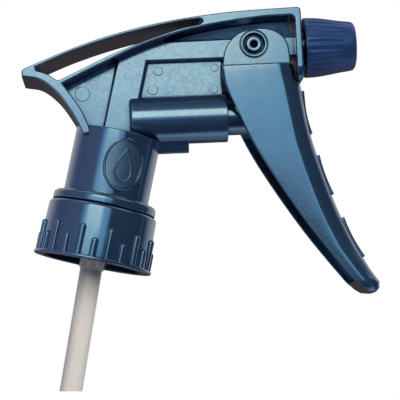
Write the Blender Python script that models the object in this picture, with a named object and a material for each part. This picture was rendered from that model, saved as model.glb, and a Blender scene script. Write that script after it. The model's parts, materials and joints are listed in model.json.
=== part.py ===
"""Trigger sprayer head: closure, pump body, trigger, plunger, valves, adjustable nozzle and dip tube.

Metres, +Z up. The origin is where a bottle's rim meets the front of the gasket, +X points to the
nozzle, and the neck's axis stands SEAT_REACH behind the origin. Round upright parts are drawn in
the neck frame, whose origin is the centre of the closure's bottom rim. The pump barrel, the
discharge line and the nozzle are tilted up by HEAD_TILT. Their shapes are drawn in the head frame:
s runs forward along the barrel, t runs up from the barrel's axis.
"""

import math

import bmesh
import bpy
from mathutils import Matrix, Vector

MM = 0.001

# Head frame
HEAD_TILT = math.radians(14.0)
BARREL_HEIGHT = 41.9 * MM  # where the barrel's axis crosses the neck's axis
NOZZLE_T = 19.7 * MM  # discharge line above the barrel's axis
HALF_WIDTH = 9.5 * MM  # top beam, spine, front plate and trigger
RUNNING = 0.1 * MM  # radial clearance of a turning pair
FIT_GAP = 0.06 * MM  # radial clearance of a pushed-in pair
END_GAP = 0.3 * MM  # gap between faces that meet

# Closure for a 28 mm bottle finish
RIM_RADIUS = 17.0 * MM
RIM_HEIGHT = 1.0 * MM
CLOSURE_FOOT_RADIUS = 16.0 * MM
CLOSURE_HEAD_RADIUS = 15.55 * MM
CLOSURE_HEIGHT = 16.05 * MM
CLOSURE_BORE = 14.0 * MM
CLOSURE_EYE = 12.75 * MM
CLOSURE_TOP_WALL = 1.85 * MM
THREAD_CREST = 13.0 * MM
THREAD_START = 2.7 * MM
THREAD_PITCH = 4.23 * MM
THREAD_TURNS = 1.5
THREAD_RIDGE = 1.6 * MM
RIB_COUNT = 24
RIB_LONG = 9.7 * MM
RIB_SHORT = 6.4 * MM
RIB_HALF_WIDTH = 0.95 * MM
RIB_REACH = 16.75 * MM
RIB_FOOT = 0.5 * MM
RIB_SUNK = 0.6 * MM  # how far a rib runs into the skirt

# Neck
NECK_RADIUS = 12.25 * MM
NECK_TOP = 38.0 * MM
COLLAR_RADIUS = 14.85 * MM
COLLAR_HEIGHT = 2.75 * MM
COLLAR_BEND = 1.3 * MM
FLANGE_RADIUS = 13.4 * MM
FLANGE_FOOT = 12.4 * MM
FLANGE_TOP = 13.9 * MM
CAVITY_RADIUS = 10.4 * MM
CAVITY_TOP = 35.9 * MM
SOCKET_RADIUS = 5.4 * MM
SOCKET_FOOT = 18.5 * MM
GASKET_THICKNESS = 1.0 * MM
GASKET_OUTER = 13.2 * MM
GASKET_INNER = 9.4 * MM
SEAT_REACH = (GASKET_INNER + GASKET_OUTER) / 2
SEAT_HEIGHT = FLANGE_FOOT - END_GAP - GASKET_THICKNESS

# Inlet valve, dip tube and riser
RETAINER_RADIUS = 3.6 * MM
RETAINER_FOOT = -1.5 * MM
RETAINER_TOP = 25.5 * MM
TUBE_RADIUS = 3.17 * MM
TUBE_BORE = 2.3 * MM
TUBE_TOP = 18.0 * MM
TUBE_FOOT = -36.6 * MM
TUBE_DRIFT = 1.4 * MM  # how far the tube's free end has bowed forward
TUBE_CUT = math.radians(11.3)
INLET_BALL_RADIUS = 2.2 * MM
SEAT_FOOT = 19.7 * MM
SEAT_RADIUS = 1.5 * MM
BALL_ROOM_RADIUS = 2.9 * MM
BYPASS_TOP = 28.1 * MM  # cross slots that let liquid past the lifted ball
BYPASS_REACH = 2.7 * MM
BYPASS_HALF_WIDTH = 0.7 * MM
RISER_RADIUS = 1.5 * MM

# Barrel, plunger and return spring
BARREL_RADIUS = 7.03 * MM
BARREL_BACK = 2.4 * MM
BARREL_FRONT = 30.5 * MM
BORE_RADIUS = 5.5 * MM
BORE_BACK = 5.5 * MM
PORT_RADIUS = 1.4 * MM
PLUNGER_RADIUS = 5.1 * MM
PLUNGER_BACK = 15.0 * MM
PLUNGER_FRONT = 45.6 * MM
PLUNGER_HOLLOW = 3.5 * MM
HOLLOW_FRONT = 34.0 * MM
PISTON_SEAL = (15.4 * MM, 17.2 * MM)
VENT_SEAL = (19.2 * MM, 21.2 * MM)
SEAL_SEAT = 4.3 * MM
CROSS_BAR = (43.3 * MM, 0.0)
CROSS_BAR_RADIUS = 1.6 * MM
SPRING_RADIUS = 2.75 * MM
SPRING_WIRE = 0.4 * MM
SPRING_TURNS = 9
VENT_S = 18.2 * MM
VENT_RADIUS = 0.5 * MM
VENT_T = -7.9 * MM
NOTCH_REACH = 8.0 * MM
TAB_BACK = 9.8 * MM
TAB_FRONT = 19.1 * MM
TAB_FOOT = -9.7 * MM
TAB_HALF_WIDTHS = (1.2 * MM, 3.4 * MM)  # at its foot and at its root in the barrel

# Frame of the body
FRAME_ROOT = 36.5 * MM  # height inside the neck at which the web and the column start
BEAM_OUTER = ((-26.9, 15.1), (-15.5, 19.55), (-3.0, 23.55), (12.2, 26.9), (30.6, 29.15), (51.9, 30.0))
BEAM_INNER = ((-16.3, 10.3), (-6.4, 14.9), (8.1, 21.05), (23.7, 25.15), (40.1, 27.25), (49.4, 27.6))
PLATE_CORNER = (50.4, 26.9)
SPINE_OUTER = ((-27.75, 12.7), (-22.4, 11.4), (-17.6, 7.2), (-14.0, 1.75), (-11.5, -2.3), (-9.9, -4.4),
               (-8.7, -5.4))
SPINE_INNER = ((-9.2, -2.3), (-11.6, 3.2), (-16.3, 10.3))
SPINE_ROOT = (-7.9, -4.6)
SLOT_UPPER = ((-23.9, 15.1), (-12.8, 19.3), (0.4, 23.2), (16.0, 26.45), (23.6, 27.35))
SLOT_END = ((24.3, 27.0), (24.5, 26.5))
SLOT_LOWER = ((23.6, 25.9), (16.0, 24.35), (0.3, 19.1), (-13.0, 13.2), (-17.0, 11.4))
SLOT_TAIL = ((-18.0, 11.4), (-20.4, 13.1), (-23.7, 14.3))
PLATE_BACK = 50.8 * MM
PLATE_FRONT = 52.7 * MM
PLATE_FOOT = 9.0 * MM
PLATE_BEND = 4.5 * MM  # round lower corners of the front plate
WEB_HALF = 1.5 * MM
RAISED_HALF = 4.5 * MM
COLUMN_BACK = -4.75 * MM
COLUMN_FRONT = 3.9 * MM
LINE_HALF_HEIGHT = 3.02 * MM
WEB_FRONT = 29.4 * MM

# Trigger pivot
PIVOT = (38.8 * MM, NOZZLE_T)
PIVOT_BOSS_RADIUS = 4.6 * MM
PIVOT_BOSS_HALF = 6.8 * MM
EAR_INNER = 7.0 * MM
EAR_OUTER = 8.7 * MM
EAR_SINK_RADIUS = 4.15 * MM
EAR_OUTLINE = ((29.5, 9.5), (29.5, 14.0), (30.8, 19.3), (34.3, 22.9), (38.6, 24.2), (43.2, 24.1),
               (46.5, 22.5), (48.6, 19.4), (49.2, 15.6), (49.0, 9.5))
PIN_RADIUS = 3.5 * MM
PIN_STEM = 2.0 * MM
PIN_END = 8.9 * MM
PIN_ROOT = 3.3 * MM
PIN_RINGS = (2.75 * MM, 2.0 * MM, 1.06 * MM)

# Trigger
TRIGGER_BACK = ((29.4, 13.9), (30.2, 8.0), (32.4, 2.0), (39.0, -12.3), (50.9, -31.7), (62.3, -47.2),
                (65.2, -50.3))
TRIGGER_FRONT = ((52.1, 7.5), (53.9, -5.4), (58.9, -22.9), (63.3, -34.3), (68.5, -44.9),
                 (71.5, -49.7))
TRIGGER_SHOULDER = ((49.7, 14.5), (50.2, 10.5), (50.3, 8.2))
TRIGGER_TIP = (((65.9, -51.1), (71.3, -51.4)), ((67.4, -52.2), (70.2, -52.6)))
TRIGGER_WALL = 1.7 * MM
TRIGGER_CORNER = 5.8 * MM
PAD_SPANS = ((6.3, -6.2), (-12.6, -24.1), (-30.9, -42.5))
PAD_HEIGHT = 0.7 * MM
PAD_HOLLOW = 0.45  # share of that height lost in the middle of a pad
PAD_HALF_WIDTH = 4.6 * MM

# Nozzle
SPIGOT_RADIUS = 5.0 * MM
SPIGOT_TIP = 64.0 * MM
NOZZLE_PITCH = 2.5 * MM
NOZZLE_THREAD = (55.0 * MM, 58.8 * MM)
NOZZLE_CREST = 0.6 * MM
NOZZLE_RIDGE = 0.9 * MM
LINE_RADIUS = 1.6 * MM
VALVE_RADIUS = 3.0 * MM
VALVE_SEAT = 50.4 * MM
OUTLET_BALL_RADIUS = 2.2 * MM
SPINNER_BACK = 58.5 * MM
CAP_BACK = 54.0 * MM
CAP_FRONT = 68.8 * MM
CAP_BORE = 5.75 * MM
CAP_END_WALL = 66.3 * MM
CAP_DISH = ((0.0, 4.4 * MM), (0.9 * MM, 3.2 * MM))  # (depth, radius) of the hollow round the orifice
SPINNER_FRONT = CAP_END_WALL - END_GAP
SPINNER_NOSE = (2.2 * MM, 1.7 * MM)  # radius behind and at the nose's chamfer
SWIRL_GROOVE = (1.9 * MM, 0.4 * MM)  # depth from the axis and half width
ORIFICE_RADIUS = 0.45 * MM
CAP_PROFILE = ((54.0, 8.4), (54.3, 8.7), (58.1, 8.65), (61.0, 8.2), (64.2, 7.6), (67.9, 7.05),
               (68.8, 6.2))
FLUTE_COUNT = 24
FLUTE_DEPTH = 0.45 * MM
FLUTE_START = CAP_BACK + 0.35 * MM
FLUTE_END = CAP_FRONT - 1.5 * MM
FLUTE_FADE = 8.0 * MM
SEAL_S = 61.0 * MM


def neck_frame():
    """Local Z up the neck's axis, with its origin in the closure's bottom rim."""
    return Matrix.Translation((-SEAT_REACH, 0, -SEAT_HEIGHT))


def head_in_neck(s=0.0, t=0.0):
    """The place in the head as the neck frame sees it, with local X along s and local Z along t."""
    turn = Matrix.Rotation(-HEAD_TILT, 4, "Y")
    return Matrix.Translation((0, 0, BARREL_HEIGHT)) @ turn @ Matrix.Translation((s, 0, t))


def head_frame(s=0.0, t=0.0):
    return neck_frame() @ head_in_neck(s, t)


def axis_frame(t=0.0, s=0.0):
    """Local Z along s, so that a turned piece lies along the barrel or the discharge line."""
    swap = Matrix(((0, 0, 1, 0), (1, 0, 0, 0), (0, 1, 0, 0), (0, 0, 0, 1)))
    return head_frame(s, t) @ swap


def side_frame(s, t):
    """Local Z along world -Y from that place in the head."""
    return head_frame(s, t) @ Matrix.Rotation(math.pi / 2, 4, "X")


def cross_frame():
    """Local Y along s and local Z along t, for outlines across the head."""
    return head_frame() @ Matrix.Rotation(-math.pi / 2, 4, "Z")


def millimetres(points):
    return [(a * MM, b * MM) for a, b in points]


def smooth(points, steps=3):
    """Points along a Catmull-Rom curve through the given ones."""
    given = [Vector(point) for point in points]
    knots = [2 * given[0] - given[1], *given, 2 * given[-1] - given[-2]]
    found = []
    for a, b, c, d in zip(knots, knots[1:], knots[2:], knots[3:]):
        for k in range(steps):
            u = k / steps
            square = (2 * a - 5 * b + 4 * c - d) * u**2
            cube = (3 * b - a - 3 * c + d) * u**3
            found.append(0.5 * (2 * b + (c - a) * u + square + cube))
    return found + [given[-1]]


def along(curve, share):
    """The point at that share of a curve's length."""
    lengths = [(b - a).length for a, b in zip(curve, curve[1:])]
    left = share * sum(lengths)
    for a, b, length in zip(curve, curve[1:], lengths):
        if left <= length:
            return a.lerp(b, left / length)
        left -= length
    return curve[-1].copy()


def material(name, colour, roughness, metallic=0.0, alpha=1.0):
    made = bpy.data.materials.new(name)
    made.use_nodes = True
    shader = made.node_tree.nodes["Principled BSDF"]
    shader.inputs["Base Color"].default_value = (*colour, 1)
    shader.inputs["Roughness"].default_value = roughness
    shader.inputs["Metallic"].default_value = metallic
    shader.inputs["Alpha"].default_value = alpha
    return made


def skin(name, rings, frame, finish=None, closed=False):
    """A closed solid through rings of equal length, its origin at the frame's."""
    mesh = bmesh.new()
    rows = [[mesh.verts.new(point) for point in ring] for ring in rings]
    count = len(rings[0])
    pairs = list(zip(rows, rows[1:]))
    if closed:
        pairs.append((rows[-1], rows[0]))
    else:
        mesh.faces.new(rows[0])
        mesh.faces.new(rows[-1])
    for low, high in pairs:
        for i in range(count):
            j = (i + 1) % count
            mesh.faces.new((low[i], low[j], high[j], high[i]))
    bmesh.ops.remove_doubles(mesh, verts=mesh.verts, dist=1e-6)
    loose = [edge for edge in mesh.edges if not edge.link_faces]
    bmesh.ops.delete(mesh, geom=loose, context="EDGES")
    bmesh.ops.triangulate(mesh, faces=mesh.faces)
    bmesh.ops.recalc_face_normals(mesh, faces=mesh.faces)
    data = bpy.data.meshes.new(name)
    mesh.to_mesh(data)
    mesh.free()
    if finish:
        data.materials.append(finish)
    made = bpy.data.objects.new(name, data)
    made.matrix_world = frame
    bpy.context.scene.collection.objects.link(made)
    return made


def turned(name, profile, frame, finish=None, segments=32):
    """A closed outline of (radius, height) points turned about the frame's Z."""
    rings = []
    for k in range(segments):
        angle = 2 * math.pi * k / segments
        rings.append([(r * math.cos(angle), r * math.sin(angle), h) for r, h in profile])
    return skin(name, rings, frame, finish, closed=True)


def rod(name, radius, low, high, frame, finish=None, segments=24):
    return turned(name, [(0, low), (radius, low), (radius, high), (0, high)], frame, finish, segments)


def slab(name, outline, low, high, frame, finish=None):
    """An outline in the frame's XZ plane, extruded along Y."""
    rings = [[(a, y, b) for a, b in outline] for y in (low, high)]
    return skin(name, rings, frame, finish)


def helix_ridge(name, root, crest, width, start, pitch, turns, frame, per_turn=24):
    """A tapered thread ridge from root radius to crest radius, faded in at both ends."""
    rings = []
    steps = int(per_turn * turns)
    for k in range(steps + 1):
        angle = 2 * math.pi * k / per_turn
        fade = min(1.0, 8 * k / steps, 8 * (steps - k) / steps)
        reach = root + (crest - root) * max(fade, 0.05)
        buried = root - (crest - root) * 0.5
        middle = start + pitch * k / per_turn
        half = width / 2
        corners = ((buried, -half), (buried, half), (reach, half * 0.6), (reach, -half * 0.6))
        rings.append([(r * math.cos(angle), r * math.sin(angle), middle + h) for r, h in corners])
    return skin(name, rings, frame)


def coil(name, radius, wire, low, high, turns, frame, finish, per_turn=10, sides=5):
    """A compression spring along the frame's Z, its end turns lying flat."""
    rings = []
    steps = per_turn * turns
    for k in range(steps + 1):
        turn = k / per_turn
        share = min(max((turn - 1) / (turns - 2), 0), 1)
        lead = min(turn, 1) + max(turn - turns + 1, 0)
        height = low + wire + (high - low - 2 * wire - 4 * wire) * share + 2 * wire * lead
        angle = 2 * math.pi * turn
        ring = []
        for i in range(sides):
            around = 2 * math.pi * i / sides
            r = radius + wire * math.cos(around)
            ring.append((r * math.cos(angle), r * math.sin(angle), height + wire * math.sin(around)))
        rings.append(ring)
    return skin(name, rings, frame, finish)


def combine(target, tools, operation, solver="EXACT"):
    """Applies a Boolean with each tool in turn, and removes the tools."""
    for tool in tools:
        step = target.modifiers.new(operation, "BOOLEAN")
        step.operation = operation
        step.object = tool
        step.solver = solver
        bpy.context.view_layer.update()
        graph = bpy.context.evaluated_depsgraph_get()
        result = bpy.data.meshes.new_from_object(target.evaluated_get(graph))
        target.modifiers.clear()
        target.data = result
        bpy.data.objects.remove(tool)
    return target


def shade(objects, angle=math.radians(35)):
    for made in objects:
        made.data.shade_smooth()
        made.data.set_sharp_from_angle(angle=angle)


def neck_point(x, z):
    """(s, t) of a point given in the neck's own X and Z."""
    place = head_in_neck().inverted() @ Vector((x, 0, z))
    return Vector((place.x, place.z))


def beam_outline():
    """Top beam, tail, spine and front plate as one closed outline in the head frame."""
    inner = smooth(millimetres(BEAM_INNER))
    outer = smooth(millimetres(BEAM_OUTER))
    corner = Vector((PLATE_FRONT, 29.2 * MM))
    tail = Vector((-27.6 * MM, 14.5 * MM))
    spine_out = smooth(millimetres(SPINE_OUTER))
    spine_in = smooth(millimetres(SPINE_INNER))[:-1]
    slant = 0.4 * MM
    plate = [
        *millimetres([PLATE_CORNER]), (PLATE_BACK, 26.0 * MM), (PLATE_BACK, PLATE_FOOT),
        (PLATE_BACK + 1.5 * slant, PLATE_FOOT - slant), (PLATE_FRONT, PLATE_FOOT + slant),
    ]
    root = millimetres([SPINE_ROOT])
    return [corner, *outer[::-1], tail, *spine_out, *root, *spine_in, *inner, *plate]


def plate_corner(side):
    """Cutter that rounds one lower corner of the front plate."""
    past = 1 * MM
    inner = HALF_WIDTH - PLATE_BEND
    outer = HALF_WIDTH + past
    foot = PLATE_FOOT - 0.4 * MM
    middle = foot + PLATE_BEND
    outline = [(side * inner, foot - past), (side * outer, foot - past), (side * outer, middle)]
    for k in range(5):
        angle = math.pi / 2 * k / 4
        reach = inner + PLATE_BEND * math.cos(angle)
        outline.append((side * reach, middle - PLATE_BEND * math.sin(angle)))
    return slab("corner", outline, PLATE_BACK - past, PLATE_FRONT + past, cross_frame())


def web_outline():
    """Thin web between the spine, the beam, the front plate, the discharge line and the barrel."""
    sunk = 0.6 * MM
    beam = [point + Vector((0, sunk)) for point in smooth(millimetres(BEAM_INNER))]
    spine = [point - Vector((sunk, 0)) for point in smooth(millimetres(SPINE_INNER))]
    line_edge = NOZZLE_T - 1 * MM
    barrel_edge = 2 * MM
    front = [(PLATE_BACK + sunk, NOZZLE_T), (WEB_FRONT, line_edge), (WEB_FRONT, barrel_edge)]
    foot = [Vector((6 * MM, barrel_edge)), neck_point(0, FRAME_ROOT), neck_point(-8.6 * MM, FRAME_ROOT)]
    return [*spine[:-1], *beam, *front, *foot]


def raised_outline():
    """Column round the riser and the band round the discharge line, one outline."""
    upper = NOZZLE_T + LINE_HALF_HEIGHT
    lower = NOZZLE_T - LINE_HALF_HEIGHT
    sunk = 0.5 * MM
    under_beam = []
    for point in smooth(millimetres(BEAM_INNER[1:4]), 8):
        across = point.x * math.cos(HEAD_TILT) - point.y * math.sin(HEAD_TILT)
        if across > COLUMN_BACK + 0.2 * MM and point.y < upper:
            under_beam.append(point + Vector((0, sunk)))
    first = head_in_neck() @ Vector((under_beam[0].x, 0, under_beam[0].y))
    top = first.z - (first.x - COLUMN_BACK) * math.sin(HEAD_TILT)
    corner_s = (COLUMN_FRONT + lower * math.sin(HEAD_TILT)) / math.cos(HEAD_TILT)
    end = PLATE_BACK + sunk
    return [
        neck_point(COLUMN_BACK, FRAME_ROOT), neck_point(COLUMN_BACK, top), *under_beam,
        Vector((under_beam[-1].x + sunk, upper)), Vector((end, upper)), Vector((end, lower)),
        Vector((corner_s, lower)), neck_point(COLUMN_FRONT, FRAME_ROOT),
    ]


def slot_outline():
    """Round-ended slot that follows the beam."""
    return [
        *smooth(millimetres(SLOT_UPPER)), *millimetres(SLOT_END),
        *smooth(millimetres(SLOT_LOWER)), *smooth(millimetres(SLOT_TAIL)),
    ]


def neck_profile():
    foot = CLOSURE_HEIGHT + END_GAP
    top = foot + COLLAR_HEIGHT
    shoulder = []
    for k in range(5):
        angle = math.pi / 2 * k / 4
        r = COLLAR_RADIUS - COLLAR_BEND * (1 - math.cos(angle))
        shoulder.append((r, top - COLLAR_BEND * (1 - math.sin(angle))))
    return [
        (0, FLANGE_FOOT), (FLANGE_RADIUS, FLANGE_FOOT), (FLANGE_RADIUS, FLANGE_TOP),
        (NECK_RADIUS, FLANGE_TOP), (NECK_RADIUS, foot), (COLLAR_RADIUS, foot), *shoulder,
        (NECK_RADIUS, top), (NECK_RADIUS, NECK_TOP), (0, NECK_TOP),
    ]


def make_body(finish):
    head = head_frame()
    barrel = axis_frame()
    line = axis_frame(NOZZLE_T)
    across = side_frame(*PIVOT)
    body = turned("body", neck_profile(), neck_frame(), finish, 48)
    edge = 0.3 * MM
    tube = [
        (0, BARREL_BACK), (BARREL_RADIUS - edge, BARREL_BACK), (BARREL_RADIUS, BARREL_BACK + edge),
        (BARREL_RADIUS, BARREL_FRONT), (0, BARREL_FRONT),
    ]
    tab_top = -5 * MM
    narrow, wide = TAB_HALF_WIDTHS
    tab = [(-narrow, TAB_FOOT), (narrow, TAB_FOOT), (wide, tab_top), (-wide, tab_top)]
    low, high = NOZZLE_THREAD
    thread = helix_ridge(
        "thread", SPIGOT_RADIUS, SPIGOT_RADIUS + NOZZLE_CREST, NOZZLE_RIDGE, low, NOZZLE_PITCH,
        (high - low) / NOZZLE_PITCH, line,
    )
    beam = slab("beam", beam_outline(), -HALF_WIDTH, HALF_WIDTH, head)
    combine(beam, [plate_corner(-1), plate_corner(1)], "DIFFERENCE", "MANIFOLD")
    combine(body, [
        beam,
        slab("web", web_outline(), -WEB_HALF, WEB_HALF, head),
        slab("raised", raised_outline(), -RAISED_HALF, RAISED_HALF, head),
        turned("barrel", tube, barrel),
        slab("tab", tab, TAB_BACK, TAB_FRONT, cross_frame()),
        rod("pivot_boss", PIVOT_BOSS_RADIUS, -PIVOT_BOSS_HALF, PIVOT_BOSS_HALF, across, segments=32),
        rod("spigot", SPIGOT_RADIUS, PLATE_BACK + edge, SPIGOT_TIP, line, segments=36),
        thread,
    ], "UNION", "MANIFOLD")
    return combine(body, body_hollows(), "DIFFERENCE", "MANIFOLD")


def body_hollows():
    """Slot, neck cavity, inlet socket, riser, bore, discharge line, outlet valve, vent, pin holes."""
    head = head_frame()
    barrel = axis_frame()
    line = axis_frame(NOZZLE_T)
    upright = neck_frame()
    past = 1 * MM
    seat = VALVE_RADIUS - LINE_RADIUS
    valve = [
        (0, VALVE_SEAT - past), (LINE_RADIUS, VALVE_SEAT - past), (LINE_RADIUS, VALVE_SEAT),
        (VALVE_RADIUS, VALVE_SEAT + seat), (VALVE_RADIUS, SPIGOT_TIP + past), (0, SPIGOT_TIP + past),
    ]
    below = FLANGE_FOOT - past
    cavity = [
        (0, below), (CAVITY_RADIUS, below), (CAVITY_RADIUS, CAVITY_TOP), (SOCKET_RADIUS, CAVITY_TOP),
        (SOCKET_RADIUS, SOCKET_FOOT), (0, SOCKET_FOOT),
    ]
    line_start = NOZZLE_T * math.tan(HEAD_TILT)
    line_height = BARREL_HEIGHT + NOZZLE_T / math.cos(HEAD_TILT)
    room_top = RETAINER_TOP + END_GAP
    sizes = (BYPASS_REACH, BYPASS_HALF_WIDTH)
    ways = []
    for a, b in (sizes, sizes[::-1]):
        low = room_top - past / 2
        outline = [(-a, low), (a, low), (a, BYPASS_TOP), (-a, BYPASS_TOP)]
        ways.append(slab("way", outline, -b, b, upright))
    stems = []
    for side in (-1, 1):
        low, high = sorted((side * (PIN_ROOT - END_GAP), side * (PIVOT_BOSS_HALF + past)))
        stems.append(rod("stem", PIN_STEM + FIT_GAP, low, high, side_frame(*PIVOT)))
    vent_end = VENT_S + 0.9 * VENT_RADIUS
    return [
        slab("slot", slot_outline(), -2 * HALF_WIDTH, 2 * HALF_WIDTH, head),
        turned("cavity", cavity, upright, segments=36),
        rod("socket", RETAINER_RADIUS + FIT_GAP, SOCKET_FOOT - past, room_top, upright),
        rod("riser", RISER_RADIUS, room_top - past / 2, line_height, upright),
        *ways,
        rod("bore", BORE_RADIUS, BORE_BACK, BARREL_FRONT + past, barrel, segments=36),
        rod("port", PORT_RADIUS, -0.3 * MM, BORE_BACK + past, barrel),
        rod("line", LINE_RADIUS, line_start - past / 2, VALVE_SEAT - past / 2, line),
        turned("valve", valve, line, segments=36),
        rod("vent", VENT_RADIUS, VENT_T, -4.5 * MM, head_frame(VENT_S), segments=16),
        rod("vent_way", VENT_RADIUS, 5.6 * MM, vent_end, axis_frame(VENT_T), segments=16),
        *stems,
    ]


def make_closure(finish):
    edge = 0.2 * MM
    shoulder = 1.1 * MM
    bevel = 0.3 * shoulder
    under = CLOSURE_HEIGHT - CLOSURE_TOP_WALL
    upright = neck_frame()
    profile = [
        (CLOSURE_BORE, 0), (RIM_RADIUS - edge, 0), (RIM_RADIUS, edge), (RIM_RADIUS, RIM_HEIGHT),
        (CLOSURE_FOOT_RADIUS, RIM_HEIGHT + edge), (CLOSURE_HEAD_RADIUS, CLOSURE_HEIGHT - shoulder),
        (CLOSURE_HEAD_RADIUS - bevel, CLOSURE_HEIGHT - bevel),
        (CLOSURE_HEAD_RADIUS - shoulder, CLOSURE_HEIGHT), (CLOSURE_EYE, CLOSURE_HEIGHT),
        (CLOSURE_EYE, under), (CLOSURE_BORE, under),
    ]
    closure = turned("closure", profile, upright, finish, 48)
    half = RIB_HALF_WIDTH
    inner = RIB_SUNK - CLOSURE_HEAD_RADIUS
    ribs = []
    for k in range(RIB_COUNT):
        top = RIB_SHORT if k % 2 == 0 else RIB_LONG
        outline = [(-half, RIB_FOOT), (half, RIB_FOOT)]
        for j in range(4):
            angle = math.pi * j / 3
            outline.append((half * math.cos(angle), top - half + half * math.sin(angle)))
        turn = upright @ Matrix.Rotation(2 * math.pi * k / RIB_COUNT, 4, "Z")
        ribs.append(slab("rib", outline, -RIB_REACH, inner, turn))
    thread = helix_ridge(
        "thread", CLOSURE_BORE, THREAD_CREST, THREAD_RIDGE, THREAD_START, THREAD_PITCH, THREAD_TURNS,
        upright,
    )
    return combine(closure, [*ribs, thread], "UNION")


def make_inlet(clear, rubber, steel):
    upright = neck_frame()
    top = FLANGE_FOOT - END_GAP
    gasket = turned("bottle_gasket", [
        (GASKET_INNER, top - GASKET_THICKNESS), (GASKET_OUTER, top - GASKET_THICKNESS),
        (GASKET_OUTER, top), (GASKET_INNER, top),
    ], upright, rubber)
    bore = TUBE_RADIUS + FIT_GAP
    cone = BALL_ROOM_RADIUS - SEAT_RADIUS
    retainer = turned("tube_retainer", [
        (bore, RETAINER_FOOT), (RETAINER_RADIUS, RETAINER_FOOT), (RETAINER_RADIUS, RETAINER_TOP),
        (BALL_ROOM_RADIUS, RETAINER_TOP), (BALL_ROOM_RADIUS, SEAT_FOOT + cone), (SEAT_RADIUS, SEAT_FOOT),
        (SEAT_RADIUS, TUBE_TOP + END_GAP), (bore, TUBE_TOP + END_GAP),
    ], upright, clear)
    rise = math.sqrt(INLET_BALL_RADIUS**2 - SEAT_RADIUS**2) + 0.15 * MM
    centre = upright @ Matrix.Translation((0, 0, SEAT_FOOT + rise))
    ball = make_ball("inlet_ball", INLET_BALL_RADIUS, centre, steel)
    return [gasket, retainer, make_dip_tube(clear), ball]


def make_dip_tube(finish):
    """The tube hangs straight through its retainer, bows forward below it and ends in a slanted cut."""
    rings = []
    steps = 8
    segments = 20
    for wall in (TUBE_RADIUS, TUBE_BORE):
        rows = []
        for k in range(steps + 1):
            share = max(k - 1, 0) / (steps - 1)
            height = TUBE_TOP if k == 0 else RETAINER_FOOT + (TUBE_FOOT - RETAINER_FOOT) * share
            slant = math.tan(TUBE_CUT) * share**4
            row = []
            for i in range(segments):
                angle = 2 * math.pi * i / segments
                x = wall * math.cos(angle)
                row.append((x + TUBE_DRIFT * share, wall * math.sin(angle), height + x * slant))
            rows.append(row)
        rings += rows if wall == TUBE_RADIUS else rows[::-1]
    return skin("dip_tube", rings, neck_frame(), finish, closed=True)


def make_ball(name, radius, frame, finish, segments=20):
    half = segments // 2
    profile = []
    for k in range(half + 1):
        angle = math.pi * (k / half - 0.5)
        profile.append((radius * math.cos(angle) if 0 < k < half else 0, radius * math.sin(angle)))
    return turned(name, profile, frame, finish, segments)


def make_pump(finish, rubber, steel):
    place = axis_frame(0, CROSS_BAR[0])
    shift = CROSS_BAR[0]
    grooves = []
    for low, high in (VENT_SEAL, PISTON_SEAL):
        grooves += [
            (PLUNGER_RADIUS, high + FIT_GAP - shift), (SEAL_SEAT, high + FIT_GAP - shift),
            (SEAL_SEAT, low - FIT_GAP - shift), (PLUNGER_RADIUS, low - FIT_GAP - shift),
        ]
    edge = 0.4 * MM
    front = PLUNGER_FRONT - shift
    back = PLUNGER_BACK - shift
    hollow = HOLLOW_FRONT - shift
    profile = [
        (0, hollow), (0, front), (PLUNGER_RADIUS - edge, front), (PLUNGER_RADIUS, front - edge),
        *grooves, (PLUNGER_RADIUS - edge, back), (PLUNGER_HOLLOW, back), (PLUNGER_HOLLOW, hollow),
    ]
    plunger = turned("plunger", profile, place, finish)
    room = CROSS_BAR_RADIUS + 0.7 * MM
    floor = -CROSS_BAR_RADIUS - 0.15 * MM
    reach = NOTCH_REACH
    notch = [(floor, -room), (reach, -room), (reach, room), (floor, room)]
    combine(plunger, [slab("notch", notch, -reach, reach, head_frame(*CROSS_BAR))], "DIFFERENCE")
    seals = []
    for name, (low, high) in (("piston_seal", PISTON_SEAL), ("vent_seal", VENT_SEAL)):
        lip = BORE_RADIUS - FIT_GAP
        low -= shift
        high -= shift
        waist = (lip - 0.35 * MM, (low + high) / 2)
        ring = [
            (SEAL_SEAT + FIT_GAP, low), (lip, low), (lip, low + 0.5 * MM), waist,
            (lip, high - 0.5 * MM), (lip, high), (SEAL_SEAT + FIT_GAP, high),
        ]
        seals.append(turned(name, ring, place, rubber))
    ends = (BORE_BACK + 0.05 * MM, HOLLOW_FRONT - 0.05 * MM)
    spring = coil("return_spring", SPRING_RADIUS, SPRING_WIRE, *ends, SPRING_TURNS, axis_frame(), steel)
    return [plunger, *seals, spring]


def trigger_stations():
    """(back point, front point, half width, corner radius) of each section from the top to the tip."""
    back = smooth(millimetres(TRIGGER_BACK), 8)
    front = smooth(millimetres(TRIGGER_FRONT), 8)
    shoulder = [Vector(p) for p in millimetres(TRIGGER_SHOULDER)]
    small = TRIGGER_CORNER / 2
    stations = []
    for share, point in zip((0, 0.05, 0.08), shoulder):
        stations.append((along(back, share), point, HALF_WIDTH, small))
    count = 13
    for k in range(count + 1):
        share = k / count
        corner = small + (TRIGGER_CORNER - small) * min(1, 4 * share)
        stations.append((along(back, 0.085 + 0.915 * share), along(front, share), HALF_WIDTH, corner))
    for (back_end, front_end), less in zip(TRIGGER_TIP, (0.4 * MM, 1.5 * MM)):
        ends = [Vector(p) for p in millimetres((back_end, front_end))]
        stations.append((*ends, HALF_WIDTH - less, TRIGGER_CORNER * 0.6))
    return stations


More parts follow.
